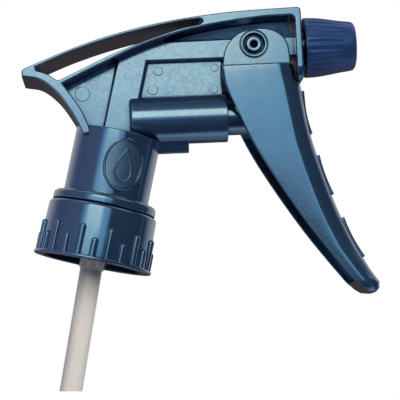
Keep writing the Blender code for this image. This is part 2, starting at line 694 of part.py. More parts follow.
def trigger_section(back, front, half, corner, wall=0.0, behind=0.0):
    """A U-shaped outline between the two points, moved in by the wall."""
    ahead = (front - back).normalized()
    reach = (front - back).length - wall
    half -= wall
    bend = min(corner, 0.7 * reach) - wall
    place = Vector(PIVOT)
    side = [(-behind, half)]
    for k in range(7):
        angle = math.pi / 2 * k / 6
        side.append((reach - bend + bend * math.sin(angle), half - bend + bend * math.cos(angle)))
    ring = [(f, -y) for f, y in side] + [(f, y) for f, y in reversed(side)]
    ring = [(back + ahead * f - place, y) for f, y in ring]
    return [(point.x, y, point.y) for point, y in ring]


def pad_outline(span):
    """A raised finger pad on the front curve, hollowed a little in the middle."""
    front = smooth(millimetres(TRIGGER_FRONT), 12)
    upper = []
    lower = []
    steps = 8
    for k in range(steps + 1):
        height = (span[0] + (span[1] - span[0]) * k / steps) * MM
        above, below = next((a, b) for a, b in zip(front, front[1:]) if b.y <= height)
        middle = above.lerp(below, (above.y - height) / (above.y - below.y))
        step = (below - above).normalized()
        outward = Vector((-step.y, step.x))
        upper.append(middle + outward * PAD_HEIGHT * (1 - PAD_HOLLOW * math.sin(math.pi * k / steps)))
        lower.append(middle - outward * 1.2 * MM)
    place = Vector(PIVOT)
    return [point - place for point in upper + lower[::-1]]


def make_trigger(finish):
    pivot = head_frame(*PIVOT)
    stations = trigger_stations()
    trigger = skin("trigger", [trigger_section(*station) for station in stations], pivot, finish)
    hollow = [trigger_section(*station, TRIGGER_WALL, 3 * MM) for station in stations[:-3]]
    above = [(x, y, z + 3 * MM) for x, y, z in hollow[0]]
    combine(trigger, [skin("hollow", [above] + hollow, pivot)], "DIFFERENCE", "MANIFOLD")
    place = Vector(PIVOT)
    arch = [p - place for p in smooth(millimetres(EAR_OUTLINE), 4)]
    bar = (CROSS_BAR[0] - PIVOT[0], CROSS_BAR[1] - PIVOT[1])
    bar_frame = side_frame(*CROSS_BAR)
    inside = HALF_WIDTH - TRIGGER_WALL / 2
    parts = [
        slab("ear_left", arch, -EAR_OUTER, -EAR_INNER, pivot),
        slab("ear_right", arch, EAR_INNER, EAR_OUTER, pivot),
        rod("bar", CROSS_BAR_RADIUS, -inside, inside, bar_frame, segments=24),
    ]
    for span in PAD_SPANS:
        parts.append(slab("pad", pad_outline(span), -PAD_HALF_WIDTH, PAD_HALF_WIDTH, pivot))
    combine(trigger, parts, "UNION", "MANIFOLD")
    across = side_frame(*PIVOT)
    far = 2 * HALF_WIDTH
    sink = EAR_OUTER - 0.5 * MM
    combine(trigger, [
        rod("eye", PIN_RADIUS + RUNNING, -far, far, across, segments=32),
        rod("sink_left", EAR_SINK_RADIUS, sink, far, across, segments=32),
        rod("sink_right", EAR_SINK_RADIUS, -far, -sink, across, segments=32),
    ], "DIFFERENCE", "MANIFOLD")
    return trigger


def make_pins(finish):
    rim, groove, core = PIN_RINGS
    foot = PIVOT_BOSS_HALF + 0.1 * MM
    profile = [
        (0, PIN_ROOT), (PIN_STEM, PIN_ROOT), (PIN_STEM, foot), (PIN_RADIUS, foot),
        (PIN_RADIUS, PIN_END - 0.2 * MM), (PIN_RADIUS - 0.2 * MM, PIN_END), (rim, PIN_END),
        (rim, PIN_END - 0.8 * MM), (groove, PIN_END - 0.8 * MM), (groove, PIN_END - 0.2 * MM),
        (core, PIN_END - 0.2 * MM), (core, PIN_ROOT + 1.5 * MM), (0, PIN_ROOT + 1.5 * MM),
    ]
    across = side_frame(*PIVOT)
    other = across @ Matrix.Rotation(math.pi, 4, "X")
    return [
        turned("pivot_pin_left", profile, across, finish, 24),
        turned("pivot_pin_right", profile, other, finish, 24),
    ]


def make_outlet(finish, clear, rubber, steel):
    rise = math.sqrt(OUTLET_BALL_RADIUS**2 - LINE_RADIUS**2)
    centre = VALVE_SEAT + rise + 0.15 * MM
    line = axis_frame(NOZZLE_T)
    ball = make_ball("discharge_ball", OUTLET_BALL_RADIUS, axis_frame(NOZZLE_T, centre), steel)
    ends = (centre + rise + 0.3 * MM, SPINNER_BACK - 0.05 * MM)
    spring = coil("discharge_spring", LINE_RADIUS, 0.2 * MM, *ends, 6, line, steel)
    core = VALVE_RADIUS - FIT_GAP
    nose, tip = SPINNER_NOSE
    spinner = turned("spinner", [
        (0, SPINNER_BACK), (core, SPINNER_BACK), (core, SPIGOT_TIP - 0.5 * MM),
        (nose, SPIGOT_TIP - 0.2 * MM), (nose, SPINNER_FRONT - 0.4 * MM), (tip, SPINNER_FRONT),
        (0, SPINNER_FRONT),
    ], line, clear, 36)
    depth, half = SWIRL_GROOVE
    reach = 2 * core
    low = VALVE_SEAT
    high = CAP_FRONT
    grooves = []
    for k in range(3):
        turn = line @ Matrix.Rotation(2 * math.pi * k / 3, 4, "Z")
        outline = [(depth, low), (reach, low), (reach, high), (depth, high)]
        grooves.append(slab("groove", outline, -half, half, turn))
    combine(spinner, grooves, "DIFFERENCE")
    section = 0.32 * MM
    middle = (SPIGOT_RADIUS + CAP_BORE) / 2
    ring = []
    for k in range(6):
        angle = 2 * math.pi * k / 6
        ring.append((middle + section * math.cos(angle), section * math.sin(angle)))
    seal = turned("nozzle_seal", ring, axis_frame(NOZZLE_T, SEAL_S), rubber, 28)
    return [ball, spring, spinner, seal, make_nozzle_cap(finish)]


def make_nozzle_cap(finish):
    """A tapered cap with flutes that fade out towards its front, threaded inside."""
    shift = CAP_BACK
    frame = axis_frame(NOZZLE_T, CAP_BACK)
    outer = millimetres(CAP_PROFILE)
    dish = [(CAP_FRONT - depth, radius) for depth, radius in CAP_DISH]
    inner = [
        *dish, (dish[-1][0], ORIFICE_RADIUS), (CAP_END_WALL, ORIFICE_RADIUS),
        (CAP_END_WALL, SPIGOT_RADIUS + END_GAP),
        (SEAL_S + 1.6 * MM, SPIGOT_RADIUS + END_GAP), (SEAL_S + 1.2 * MM, CAP_BORE),
        (CAP_BACK + 0.5 * MM, CAP_BORE), (CAP_BACK, CAP_BORE + 0.5 * MM),
    ]
    rings = []
    per_flute = 2
    count = FLUTE_COUNT * per_flute
    for k in range(count):
        angle = 2 * math.pi * k / count
        groove = math.cos(math.pi * k / per_flute) ** 2
        ring = []
        for s, r in outer:
            fade = min(max((FLUTE_END - s) / FLUTE_FADE, 0), 1) if s > FLUTE_START else 0
            deep = r - FLUTE_DEPTH * groove * fade
            ring.append((deep * math.cos(angle), deep * math.sin(angle), s - shift))
        ring += [(r * math.cos(angle), r * math.sin(angle), s - shift) for s, r in inner]
        rings.append(ring)
    cap = skin("nozzle_cap", rings, frame, finish, closed=True)
    low = NOZZLE_THREAD[0] + NOZZLE_PITCH / 2 - shift
    crest = CAP_BORE - NOZZLE_CREST
    thread = helix_ridge("thread", CAP_BORE, crest, NOZZLE_RIDGE, low, NOZZLE_PITCH, 0.9, frame)
    return combine(cap, [thread], "UNION")


def main():
    for existing in list(bpy.data.objects):
        bpy.data.objects.remove(existing)
    blue = material("blue_plastic", (0.025, 0.07, 0.17), 0.28, 0.55)
    clear = material("natural_plastic", (0.86, 0.85, 0.83), 0.35, 0.0, 0.6)
    rubber = material("black_rubber", (0.03, 0.03, 0.03), 0.7)
    steel = material("stainless_steel", (0.6, 0.6, 0.62), 0.25, 1.0)
    made = [make_body(blue), make_closure(blue), make_trigger(blue)]
    made += make_inlet(clear, rubber, steel)
    made += make_pump(blue, rubber, steel)
    made += make_pins(blue)
    made += make_outlet(blue, clear, rubber, steel)
    shade(made)


main()
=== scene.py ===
"""Looks of the trigger sprayer head: fine moulded pieces, seals, springs and a studio around the CAD frame.

Metres, in the CAD's frame: +Z up, +X toward the nozzle. Round upright pieces are drawn in the neck
frame, whose origin is the centre of the closure's bottom rim. Outlines are drawn in the head frame,
in millimetres: s runs forward along the barrel and t runs up from the barrel's axis. Each shape here
is the CAD node's own, with rounded edges and finer curves.
"""

import json
import math

import bmesh
import bpy
from mathutils import Matrix, Vector


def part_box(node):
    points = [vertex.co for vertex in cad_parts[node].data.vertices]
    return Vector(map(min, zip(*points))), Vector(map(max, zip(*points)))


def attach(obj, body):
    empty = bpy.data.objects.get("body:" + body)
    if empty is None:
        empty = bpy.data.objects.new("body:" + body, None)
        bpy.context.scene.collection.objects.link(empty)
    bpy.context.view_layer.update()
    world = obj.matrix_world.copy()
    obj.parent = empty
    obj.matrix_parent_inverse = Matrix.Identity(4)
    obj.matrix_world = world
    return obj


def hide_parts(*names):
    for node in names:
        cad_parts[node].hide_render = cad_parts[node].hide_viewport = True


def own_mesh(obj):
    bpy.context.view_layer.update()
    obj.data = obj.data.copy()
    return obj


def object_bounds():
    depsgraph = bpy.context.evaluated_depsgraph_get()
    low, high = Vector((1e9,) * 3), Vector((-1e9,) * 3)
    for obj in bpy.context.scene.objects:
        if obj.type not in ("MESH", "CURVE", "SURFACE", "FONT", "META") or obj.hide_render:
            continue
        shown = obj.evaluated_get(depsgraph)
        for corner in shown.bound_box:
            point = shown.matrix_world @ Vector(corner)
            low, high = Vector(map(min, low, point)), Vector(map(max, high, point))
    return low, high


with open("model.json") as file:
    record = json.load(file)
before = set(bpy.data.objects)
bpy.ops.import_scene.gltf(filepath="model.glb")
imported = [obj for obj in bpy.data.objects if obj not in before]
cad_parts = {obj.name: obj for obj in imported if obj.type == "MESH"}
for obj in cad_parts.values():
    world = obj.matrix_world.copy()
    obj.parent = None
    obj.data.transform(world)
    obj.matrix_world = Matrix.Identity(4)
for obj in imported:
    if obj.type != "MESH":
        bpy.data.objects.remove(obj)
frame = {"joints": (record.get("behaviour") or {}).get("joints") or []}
CAD_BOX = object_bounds()

MM = 0.001
JOINTS = {joint["name"]: joint for joint in frame["joints"]}
NECK = Matrix.Translation(JOINTS["closure_spin"]["pos_m"])
NOZZLE_AXIS = Vector(JOINTS["nozzle_turn"]["axis"])
HEAD_TILT = math.atan2(NOZZLE_AXIS.z, NOZZLE_AXIS.x)
TILT_COS = math.cos(HEAD_TILT)
TILT_SIN = math.sin(HEAD_TILT)
PIVOT = (38.8 * MM, 19.7 * MM)
NOZZLE_T = PIVOT[1]
PIVOT_HEIGHT = JOINTS["trigger_swing"]["pos_m"][2] - NECK.translation.z
BARREL_HEIGHT = PIVOT_HEIGHT - PIVOT[0] * TILT_SIN - PIVOT[1] * TILT_COS


def neck_box(node):
    """The node's corners as the neck frame sees them."""
    return [corner - NECK.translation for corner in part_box(node)]


# Moulded details
EDGE = 0.45 * MM  # rounding of outer edges
SOFT_EDGE = 0.25 * MM  # rounding of small parts
WEB_HALF = 1.5 * MM
WEDGE_LEAN = 0.1  # slope of the floor between the beam and the discharge line
FILLET = 0.35 * MM  # where the recessed web meets its frame
RAISED_HALF = 3.4 * MM
RAISED_EDGE = 0.7 * MM
HALF_WIDTH = 9.5 * MM
SLOT_EDGE = 0.35 * MM
END_GAP = 0.3 * MM
FIT_GAP = 0.06 * MM
OVERCUT = 1.0 * MM  # how far a cutter runs past what it cuts
MARK_HEIGHT = 0.08 * MM
EJECTOR_MARKS = ((-10.9, 8.4, 2.1), (11.2, 14.3, 1.3), (9.4, 8.9, 1.5), (27.6, 14.6, 1.1), (27.0, 8.3, 1.2))

# Outlines and places in the head frame; pairs of bare numbers are in millimetres
BEAM_OUTER = ((-26.9, 15.1), (-15.5, 19.55), (-3.0, 23.55), (12.2, 26.9), (30.6, 29.15), (51.5, 30.0))
BEAM_INNER = ((-16.3, 10.3), (-6.4, 14.9), (8.1, 21.05), (23.7, 25.15), (40.1, 27.25), (49.4, 27.6))
SPINE_OUTER = ((-27.75, 12.7), (-22.4, 11.4), (-17.6, 7.2), (-14.0, 1.75), (-12.1, -2.0), (-11.1, -4.5))
SPINE_ROOT = (-9.0, -4.2)
SPINE_INNER = ((-9.2, -2.3), (-11.6, 3.2), (-16.3, 10.3))
SLOT_UPPER = ((-23.9, 15.3), (-12.8, 19.65), (0.4, 23.55), (16.0, 26.75), (23.6, 27.6))
SLOT_END = ((24.3, 27.2), (24.5, 26.6))
SLOT_LOWER = ((23.6, 25.9), (16.0, 24.35), (0.3, 19.1), (-13.0, 13.2), (-17.0, 11.4))
SLOT_TAIL = ((-18.0, 11.4), (-20.4, 13.1), (-23.7, 14.3))
TAIL_CENTRE = (-26.7 * MM, 13.95 * MM)
TAIL_RADIUS = 1.1 * MM
BEAM_TOP = 29.95 * MM
BEAM_BEND = 1.0 * MM  # where the beam turns down into the front plate
PLATE_BACK = 50.8 * MM
PLATE_FRONT = 52.7 * MM
PLATE_FOOT = 9.0 * MM
PLATE_ROOF = 27.6 * MM
PLATE_FILLET = 1.3 * MM
PLATE_BEND = 4.5 * MM  # round lower corners of the front plate
PLATE_RIM = 0.3 * MM
PLATE_DIP = 0.4 * MM  # how far the plate's rounded corners reach below its foot
PLATE_HEEL = ((0, 0.3), (0.3, -0.1), (0.9, -0.3))  # lower edge from the plate's back
PLATE_TOE = ((-0.4, 0), (0, 0.6))  # lower edge to the plate's front
COLUMN_BACK = -4.75 * MM
COLUMN_FRONT = 3.9 * MM
LINE_TOP = NOZZLE_T + 3.02 * MM
LINE_FOOT = NOZZLE_T - 3.02 * MM
COLUMN_CORNER = (COLUMN_FRONT + LINE_FOOT * TILT_SIN) / TILT_COS  # where its front meets the line
WEB_FRONT = 29.4 * MM
WINDOW_END = (32.4 * MM, 1.0 * MM)  # front and foot of the recess under the line, both behind other walls
WEDGE_END = ((50.4, 26.9), (50.8, 26.0))
WEB_FOOT = 2.0 * MM  # hidden in the barrel
WEB_BACK = 6.0 * MM
WEB_HEEL = -8.6 * MM  # in the neck's own X
WEB_SUNK = 0.6 * MM
COLUMN_SUNK = 0.5 * MM
FRAME_ROOT = 36.5 * MM

# Neck and closure
NECK_RADIUS = 12.25 * MM
NECK_TOP = 38.0 * MM
COLLAR_RADIUS = 14.85 * MM
COLLAR_HEIGHT = 2.75 * MM
COLLAR_BEND = 1.3 * MM
COLLAR_FILLET = 0.5 * MM
FLANGE_RADIUS = 13.4 * MM
FLANGE_FOOT = 12.4 * MM
FLANGE_TOP = 13.9 * MM
CAVITY_RADIUS = 10.4 * MM
CAVITY_TOP = 35.9 * MM
SOCKET_RADIUS = 5.4 * MM
SOCKET_FOOT = 18.5 * MM
RIM_RADIUS = neck_box("closure")[1].x
RIM_HEIGHT = 1.0 * MM
RIM_EDGE = 0.35 * MM
RIM_RISE = 0.15 * MM
EYE_EDGE = 0.2 * MM
CLOSURE_FOOT_RADIUS = 16.0 * MM
CLOSURE_HEAD_RADIUS = 15.55 * MM
CLOSURE_HEIGHT = neck_box("closure")[1].z
CLOSURE_BORE = 14.0 * MM
CLOSURE_EYE = 12.75 * MM
CLOSURE_TOP_WALL = 1.85 * MM
CLOSURE_SHOULDER = 1.1 * MM
THREAD_CREST = 13.0 * MM
THREAD_START = 2.7 * MM
THREAD_PITCH = 4.23 * MM
THREAD_WIDTH = 1.6 * MM
THREAD_TURNS = 1.5
RIB_COUNT = 24
RIB_LONG = 9.7 * MM
RIB_SHORT = 6.4 * MM
RIB_HALF_WIDTH = 0.95 * MM
RIB_FOOT = 0.5 * MM
RIB_SUNK = 0.6 * MM  # how far a rib runs into the skirt
RIB_REACH = 16.75 * MM
RIB_ROUNDING = 0.8 * MM

# Emblem on both sides of the neck
EMBLEM_HEADINGS = (-73, 107)
EMBLEM_HEIGHT = 28.3 * MM
EMBLEM_HALF_WIDTH = 5.6 * MM
EMBLEM_HALF_HEIGHT = 7.3 * MM
DROP_HALF_WIDTH = 3.6 * MM
DROP_HALF_HEIGHT = 4.6 * MM
DROP_POINT = 1.6  # how sharply the drop narrows to its tip
EMBLEM_LINE = 0.4 * MM
EMBLEM_SECTION = ((-1, -0.5), (-0.95, 0.02), (-0.5, 0.2), (0, 0.26), (0.5, 0.2), (0.95, 0.02), (1, -0.5))

# Inlet, dip tube and riser
GASKET_RADII = (9.4 * MM, 13.2 * MM)
GASKET_EDGE = 0.2 * MM
RETAINER_RADIUS = 3.6 * MM
RETAINER_LIP = 0.15 * MM
RETAINER_FOOT = neck_box("tube_retainer")[0].z
RETAINER_TOP = neck_box("tube_retainer")[1].z
TUBE_RADIUS = 3.17 * MM
TUBE_BORE = 2.3 * MM
TUBE_TOP = neck_box("dip_tube")[1].z
TUBE_FOOT = -36.6 * MM
TUBE_DRIFT = 1.4 * MM
TUBE_CUT = math.radians(11.3)
SEAT_FOOT = 19.7 * MM
SEAT_RADIUS = 1.5 * MM
BALL_RADIUS = 2.2 * MM
BALL_ROOM_RADIUS = 2.9 * MM
RISER_RADIUS = 1.5 * MM

# Barrel, plunger and springs
BARREL_RADIUS = 7.03 * MM
BARREL_BACK = 2.4 * MM
BARREL_BEND = 0.9 * MM
BARREL_FRONT = 30.5 * MM
BORE_RADIUS = 5.5 * MM
BORE_BACK = 5.5 * MM
PORT_RADIUS = 1.4 * MM
PORT_BACK = -0.3 * MM
PLUNGER_RADIUS = 5.1 * MM
PLUNGER_BACK = 15.0 * MM
PLUNGER_FRONT = 45.6 * MM
PLUNGER_HOLLOW = 3.5 * MM
HOLLOW_FRONT = 34.0 * MM
PISTON_SEAL = (15.4 * MM, 17.2 * MM)
VENT_SEAL = (19.2 * MM, 21.2 * MM)
SEAL_SEAT = 4.3 * MM
SEAL_LIP = ((0.1, 0), (0, 0.1), (0, 0.5), (0.25, 0.7))  # in from the bore and up from the ring's end
SEAL_WAIST = 0.35 * MM
CROSS_BAR = (43.3 * MM, 0.0)
CROSS_BAR_RADIUS = 1.6 * MM
NOTCH_PLAY = 0.15 * MM  # behind the cross bar
NOTCH_ROOM = 0.7 * MM  # above and below it, for its arc
SPRING_RADIUS = 2.75 * MM
SPRING_WIRE = 0.4 * MM
SPRING_TURNS = 9
SPRING_PLAY = 0.05 * MM
TAB_BACK = 9.8 * MM
TAB_FRONT = 19.1 * MM
TAB_FOOT = -9.7 * MM
TAB_HALF_WIDTHS = (1.2 * MM, 3.4 * MM)  # at its foot and at its root in the barrel
TAB_ROOT = -5.0 * MM
TAB_BEND = 0.4 * MM

# Trigger and its pins
PIVOT_BOSS_RADIUS = 4.6 * MM
PIVOT_BOSS_HALF = 6.8 * MM
EAR_INNER = 7.0 * MM
EAR_OUTER = 8.7 * MM
EAR_SINK_RADIUS = 4.15 * MM
EAR_SINK_DEPTH = 0.5 * MM
EAR_EDGE = 0.5 * MM
EAR_OUTLINE = ((29.5, 9.5), (29.5, 14.0), (30.8, 19.3), (34.3, 22.9), (38.6, 24.2), (43.2, 24.1),
               (46.5, 22.5), (48.6, 19.4), (49.2, 13.5))
EAR_FOOT = ((44.6, 13.5), (44.6, 9.5))  # closes that outline inside the lever
PIN_RADIUS = 3.5 * MM
PIN_PLAY = 0.1 * MM
PIN_STEM = 2.0 * MM
PIN_END = 8.9 * MM
PIN_ROOT = 3.3 * MM
TRIGGER_BACK = ((29.4, 13.9), (30.2, 8.0), (32.4, 2.0), (39.0, -12.3), (50.9, -31.7), (62.3, -47.2),
                (65.2, -50.3))
TRIGGER_FRONT = ((52.1, 7.5), (53.9, -5.4), (58.9, -22.9), (63.3, -34.3), (68.5, -44.9), (71.5, -49.7))
TRIGGER_SHOULDER = ((50.2, 14.0), (50.4, 12.0), (50.6, 9.6))
TRIGGER_RIM = 0.6 * MM  # rounding of the lever's upper edge
TRIGGER_TIP = (((65.9, -51.1), (71.3, -51.4)), ((67.4, -52.2), (70.2, -52.6)))
TRIGGER_WALL = 1.7 * MM
TRIGGER_CORNER = 6.1 * MM
TRIGGER_SIDE = (45.0 * MM, 14.0 * MM)  # where the flat side ends at the top
TRIGGER_SIDE_SLOPE = 0.16
TRIGGER_DRAFT = 0.9 * MM  # how much narrower each side is at the tip
TRIGGER_STATIONS = 48
TRIGGER_TIP_LESS = (0.4 * MM, 1.5 * MM)  # how much narrower again the tip's two last sections are
TRIGGER_TIP_CORNER = 3.66 * MM
TRIGGER_LIP = 0.45 * MM  # softened back edge
PAD_SPANS = ((6.3, -6.2), (-12.6, -24.1), (-30.9, -42.5))
PAD_HEIGHT = 0.7 * MM
PAD_HOLLOW = 0.45
PAD_HALF_WIDTH = 4.6 * MM
PAD_SUNK = 1.2 * MM
PAD_EDGE = 0.6 * MM

# Nozzle
SPIGOT_RADIUS = 5.0 * MM
SPIGOT_TIP = 64.0 * MM
NOZZLE_PITCH = 2.5 * MM
NOZZLE_THREAD = (55.0 * MM, 58.8 * MM)
NOZZLE_CREST = 0.6 * MM
NOZZLE_THREAD_WIDTH = 0.9 * MM
LINE_RADIUS = 1.6 * MM
VALVE_RADIUS = 3.0 * MM
VALVE_SEAT = 50.4 * MM
OUTLET_WIRE = 0.2 * MM
OUTLET_TURNS = 6
SPINNER_BACK = 58.5 * MM
SPINNER_NECK = 2.2 * MM
SPINNER_TIP = 1.7 * MM
GROOVE_COUNT = 3
GROOVE_FLOOR = 1.9 * MM
GROOVE_HALF = 0.4 * MM
CAP_BACK = 54.0 * MM
CAP_FRONT = 68.8 * MM
CAP_BORE = 5.75 * MM
CAP_END_WALL = 66.3 * MM
SPINNER_FRONT = CAP_END_WALL - END_GAP
ORIFICE_RADIUS = 0.45 * MM
CAP_PROFILE = ((54.0, 8.4), (54.3, 8.7), (57.6, 8.6), (61.0, 8.15), (64.2, 7.6), (67.9, 7.05), (68.8, 6.2))
FLUTE_COUNT = 24
FLUTE_DEPTH = 0.28 * MM
FLUTE_START = CAP_BACK + 0.35 * MM
FLUTE_RISE = 0.8 * MM
FLUTE_END = CAP_FRONT - 1.5 * MM
FLUTE_FADE = 8.0 * MM
CAP_TURNS = 0.9
SEAL_S = 61.0 * MM
NOZZLE_SEAL_SECTION = 0.32 * MM
DISH_DEPTH = 0.9 * MM
DISH_RADII = (5.2 * MM, 4.6 * MM, 3.4 * MM)  # at its rim, just inside it and at its floor


# ---------------------------------------------------------------- places and curves

def head_in_neck(s=0.0, t=0.0):
    """The place in the head as the neck frame sees it, with local X along s and local Z along t."""
    turn = Matrix.Rotation(-HEAD_TILT, 4, "Y")
    return Matrix.Translation((0, 0, BARREL_HEIGHT)) @ turn @ Matrix.Translation((s, 0, t))


def head_frame(s=0.0, t=0.0):
    return NECK @ head_in_neck(s, t)


def axis_frame(t=0.0, s=0.0):
    """Local Z along s."""
    swap = Matrix(((0, 0, 1, 0), (1, 0, 0, 0), (0, 1, 0, 0), (0, 0, 0, 1)))
    return head_frame(s, t) @ swap


def side_frame(s, t):
    """Local Z along world -Y from that place in the head."""
    return head_frame(s, t) @ Matrix.Rotation(math.pi / 2, 4, "X")


def cross_frame():
    """Local Y along s and local Z along t, for outlines across the head."""
    return head_frame() @ Matrix.Rotation(-math.pi / 2, 4, "Z")


def neck_point(x, z):
    """(s, t) of a point given in the neck's own X and Z."""
    place = head_in_neck().inverted() @ Vector((x, 0, z))
    return Vector((place.x, place.z))


def in_neck(point):
    """An (s, t) point as the neck frame sees it."""
    return head_in_neck() @ Vector((point.x, 0, point.y))


def millimetres(points):
    """The points, given in millimetres, in the script's own unit."""
    return [tuple(value * MM for value in point) for point in points]


def curve(points, steps=8):
    """A Catmull-Rom curve through points given in millimetres, with that many steps between them."""
    given = [Vector(point) for point in millimetres(points)]
    knots = [2 * given[0] - given[1], *given, 2 * given[-1] - given[-2]]
    found = []
    for a, b, c, d in zip(knots, knots[1:], knots[2:], knots[3:]):
        for k in range(steps):
            u = k / steps
            square = (2 * a - 5 * b + 4 * c - d) * u**2
            cube = (3 * b - a - 3 * c + d) * u**3
            found.append(0.5 * (2 * b + (c - a) * u + square + cube))
    return found + [given[-1]]


def along(path, share):
    """The point at that share of a path's length."""
    lengths = [(b - a).length for a, b in zip(path, path[1:])]
    left = share * sum(lengths)
    for a, b, length in zip(path, path[1:], lengths):
        if left <= length:
            return a.lerp(b, left / length)
        left -= length
    return path[-1].copy()


def arc(centre, radius, start, end, steps=5):
    """Points on a circle from one angle to the other, in degrees."""
    found = []
    for k in range(steps + 1):
        angle = math.radians(start + (end - start) * k / steps)
        found.append((centre[0] + radius * math.cos(angle), centre[1] + radius * math.sin(angle)))
    return found


def around(radius, angle, height):
    """The point at that angle, in radians, round the frame's Z."""
    return (radius * math.cos(angle), radius * math.sin(angle), height)


def corner(across, up, bend, start, sweep=90, steps=5):
    """The rounded corner at a place of an outline, from its first angle through its sweep, in degrees."""
    middle = math.radians(start + sweep / 2)
    centre = (across - math.copysign(bend, math.cos(middle)), up - math.copysign(bend, math.sin(middle)))
    return arc(centre, bend, start, start + sweep, steps)


def area(outline):
    """The outline's area, negative where it runs clockwise."""
    total = 0
    for a, b in zip(outline, outline[1:] + outline[:1]):
        total += a[0] * b[1] - b[0] * a[1]
    return total / 2


def offset(outline, distance):
    """The closed outline moved outward by the distance, or inward where it is negative."""
    points = [Vector(point) for point in outline]
    sign = 1 if area(points) > 0 else -1
    moved = []
    for i, point in enumerate(points):
        before = (point - points[i - 1]).normalized()
        after = (points[(i + 1) % len(points)] - point).normalized()
        normal = Vector((before.y + after.y, -before.x - after.x)) * sign
        if normal.length < 1e-6:
            normal = Vector((after.y, -after.x)) * sign
        normal.normalize()
        spread = max(normal.dot(Vector((after.y, -after.x)) * sign), 0.5)
        moved.append(point + normal * distance / spread)
    return moved


# ---------------------------------------------------------------- solids

def skin(name, rings, place, closed=False):
    """A closed solid through rings of equal length."""
    mesh = bmesh.new()
    rows = [[mesh.verts.new(point) for point in ring] for ring in rings]
    count = len(rings[0])
    pairs = list(zip(rows, rows[1:]))
    if closed:
        pairs.append((rows[-1], rows[0]))
    else:
        mesh.faces.new(rows[0])
        mesh.faces.new(rows[-1])
    for low, high in pairs:
        for i in range(count):
            j = (i + 1) % count
            mesh.faces.new((low[i], low[j], high[j], high[i]))
    bmesh.ops.remove_doubles(mesh, verts=mesh.verts, dist=1e-6)
    loose = [edge for edge in mesh.edges if not edge.link_faces]
    bmesh.ops.delete(mesh, geom=loose, context="EDGES")
    bmesh.ops.recalc_face_normals(mesh, faces=mesh.faces)
    data = bpy.data.meshes.new(name)
    mesh.to_mesh(data)
    mesh.free()
    data.transform(place)
    made = bpy.data.objects.new(name, data)
    bpy.context.scene.collection.objects.link(made)
    return made


def turned(name, profile, place, segments=96):
    """A closed outline of (radius, height) points turned about the frame's Z."""
    rings = []
    for k in range(segments):
        angle = 2 * math.pi * k / segments
        rings.append([around(r, angle, h) for r, h in profile])
    return skin(name, rings, place, closed=True)


def rod(name, radius, low, high, place, segments=64):
    return turned(name, [(0, low), (radius, low), (radius, high), (0, high)], place, segments)


def rounding(edge, steps=4):
    """(1 - sine, 1 - cosine) of a quarter turn in steps, both times the edge's radius."""
    turns = [math.pi / 2 * k / steps for k in range(steps + 1)]
    return [(edge * (1 - math.sin(a)), edge * (1 - math.cos(a))) for a in turns]


def layered(name, outline, levels, place):
    """A solid whose section at each (Y, growth) level is the outline in the XZ plane, grown by that much."""
    rings = [[(a, y, b) for a, b in offset(outline, growth)] for y, growth in levels]
    return skin(name, rings, place)


def slab(name, outline, low, high, place, edge=0.0):
    """An outline in the frame's XZ plane, extruded along Y, its two rims rounded by the edge."""
    levels = [(low, 0), (high, 0)]
    if edge:
        levels = [(low + y, -inset) for y, inset in rounding(edge)[::-1]]
        levels += [(high - y, -inset) for y, inset in rounding(edge)]
        levels.sort(key=lambda level: level[0])
    return layered(name, outline, levels, place)


def flared(name, outline, reach, edge, place):
    """A cutter through the whole width that leaves rounded rims at plus and minus the reach."""
    levels = [(reach - y, growth) for y, growth in rounding(edge)]
    levels.append((reach + OVERCUT, edge))
    levels = [(-y, growth) for y, growth in levels[::-1]] + levels
    return layered(name, outline, levels, place)


def pocket(name, outline, side, place, lean=0.0):
    """A recess down to the web's face on one side, its floor rounded into its walls and leaning down."""
    levels = [(WEB_HALF + y, inset) for inset, y in rounding(FILLET, 6)]
    levels.append((WEB_HALF + FILLET + OVERCUT, 0))
    middle = sum(point[1] for point in outline) / len(outline)
    rings = []
    for y, inset in levels:
        rings.append([(a, side * (y + lean * (b - middle)), b) for a, b in offset(outline, -inset)])
    return skin(name, rings, place)


def helix_ridge(name, root, crest, width, start, pitch, turns, place, per_turn=64):
    """A tapered thread ridge from root radius to crest radius, faded in at both ends."""
    rings = []
    steps = int(per_turn * turns)
    for k in range(steps + 1):
        angle = 2 * math.pi * k / per_turn
        fade = max(min(1.0, 8 * k / steps, 8 * (steps - k) / steps), 0.05)
        reach = root + (crest - root) * fade
        buried = root - (crest - root) * 0.5
        middle = start + pitch * k / per_turn
        half = width / 2
        corners = ((buried, -half), (buried, half), (reach, half * 0.6), (reach, -half * 0.6))
        rings.append([around(r, angle, middle + h) for r, h in corners])
    return skin(name, rings, place)


def coil(name, radius, wire, low, high, turns, place, per_turn=28, sides=10):
    """A compression spring along the frame's Z, its end turns lying flat."""
    rings = []
    steps = per_turn * turns
    for k in range(steps + 1):
        turn = k / per_turn
        share = min(max((turn - 1) / (turns - 2), 0), 1)
        lead = min(turn, 1) + max(turn - turns + 1, 0)
        height = low + wire + (high - low - 6 * wire) * share + 2 * wire * lead
        angle = 2 * math.pi * turn
        ring = []
        for i in range(sides):
            across, up = wire * math.cos(2 * math.pi * i / sides), wire * math.sin(2 * math.pi * i / sides)
            ring.append(around(radius + across, angle, height + up))
        rings.append(ring)
    return skin(name, rings, place)


def ball(name, radius, place, segments=48):
    half = segments // 2
    profile = []
    for k in range(half + 1):
        angle = math.pi * (k / half - 0.5)
        profile.append((radius * math.cos(angle) if 0 < k < half else 0, radius * math.sin(angle)))
    return turned(name, profile, place, segments)


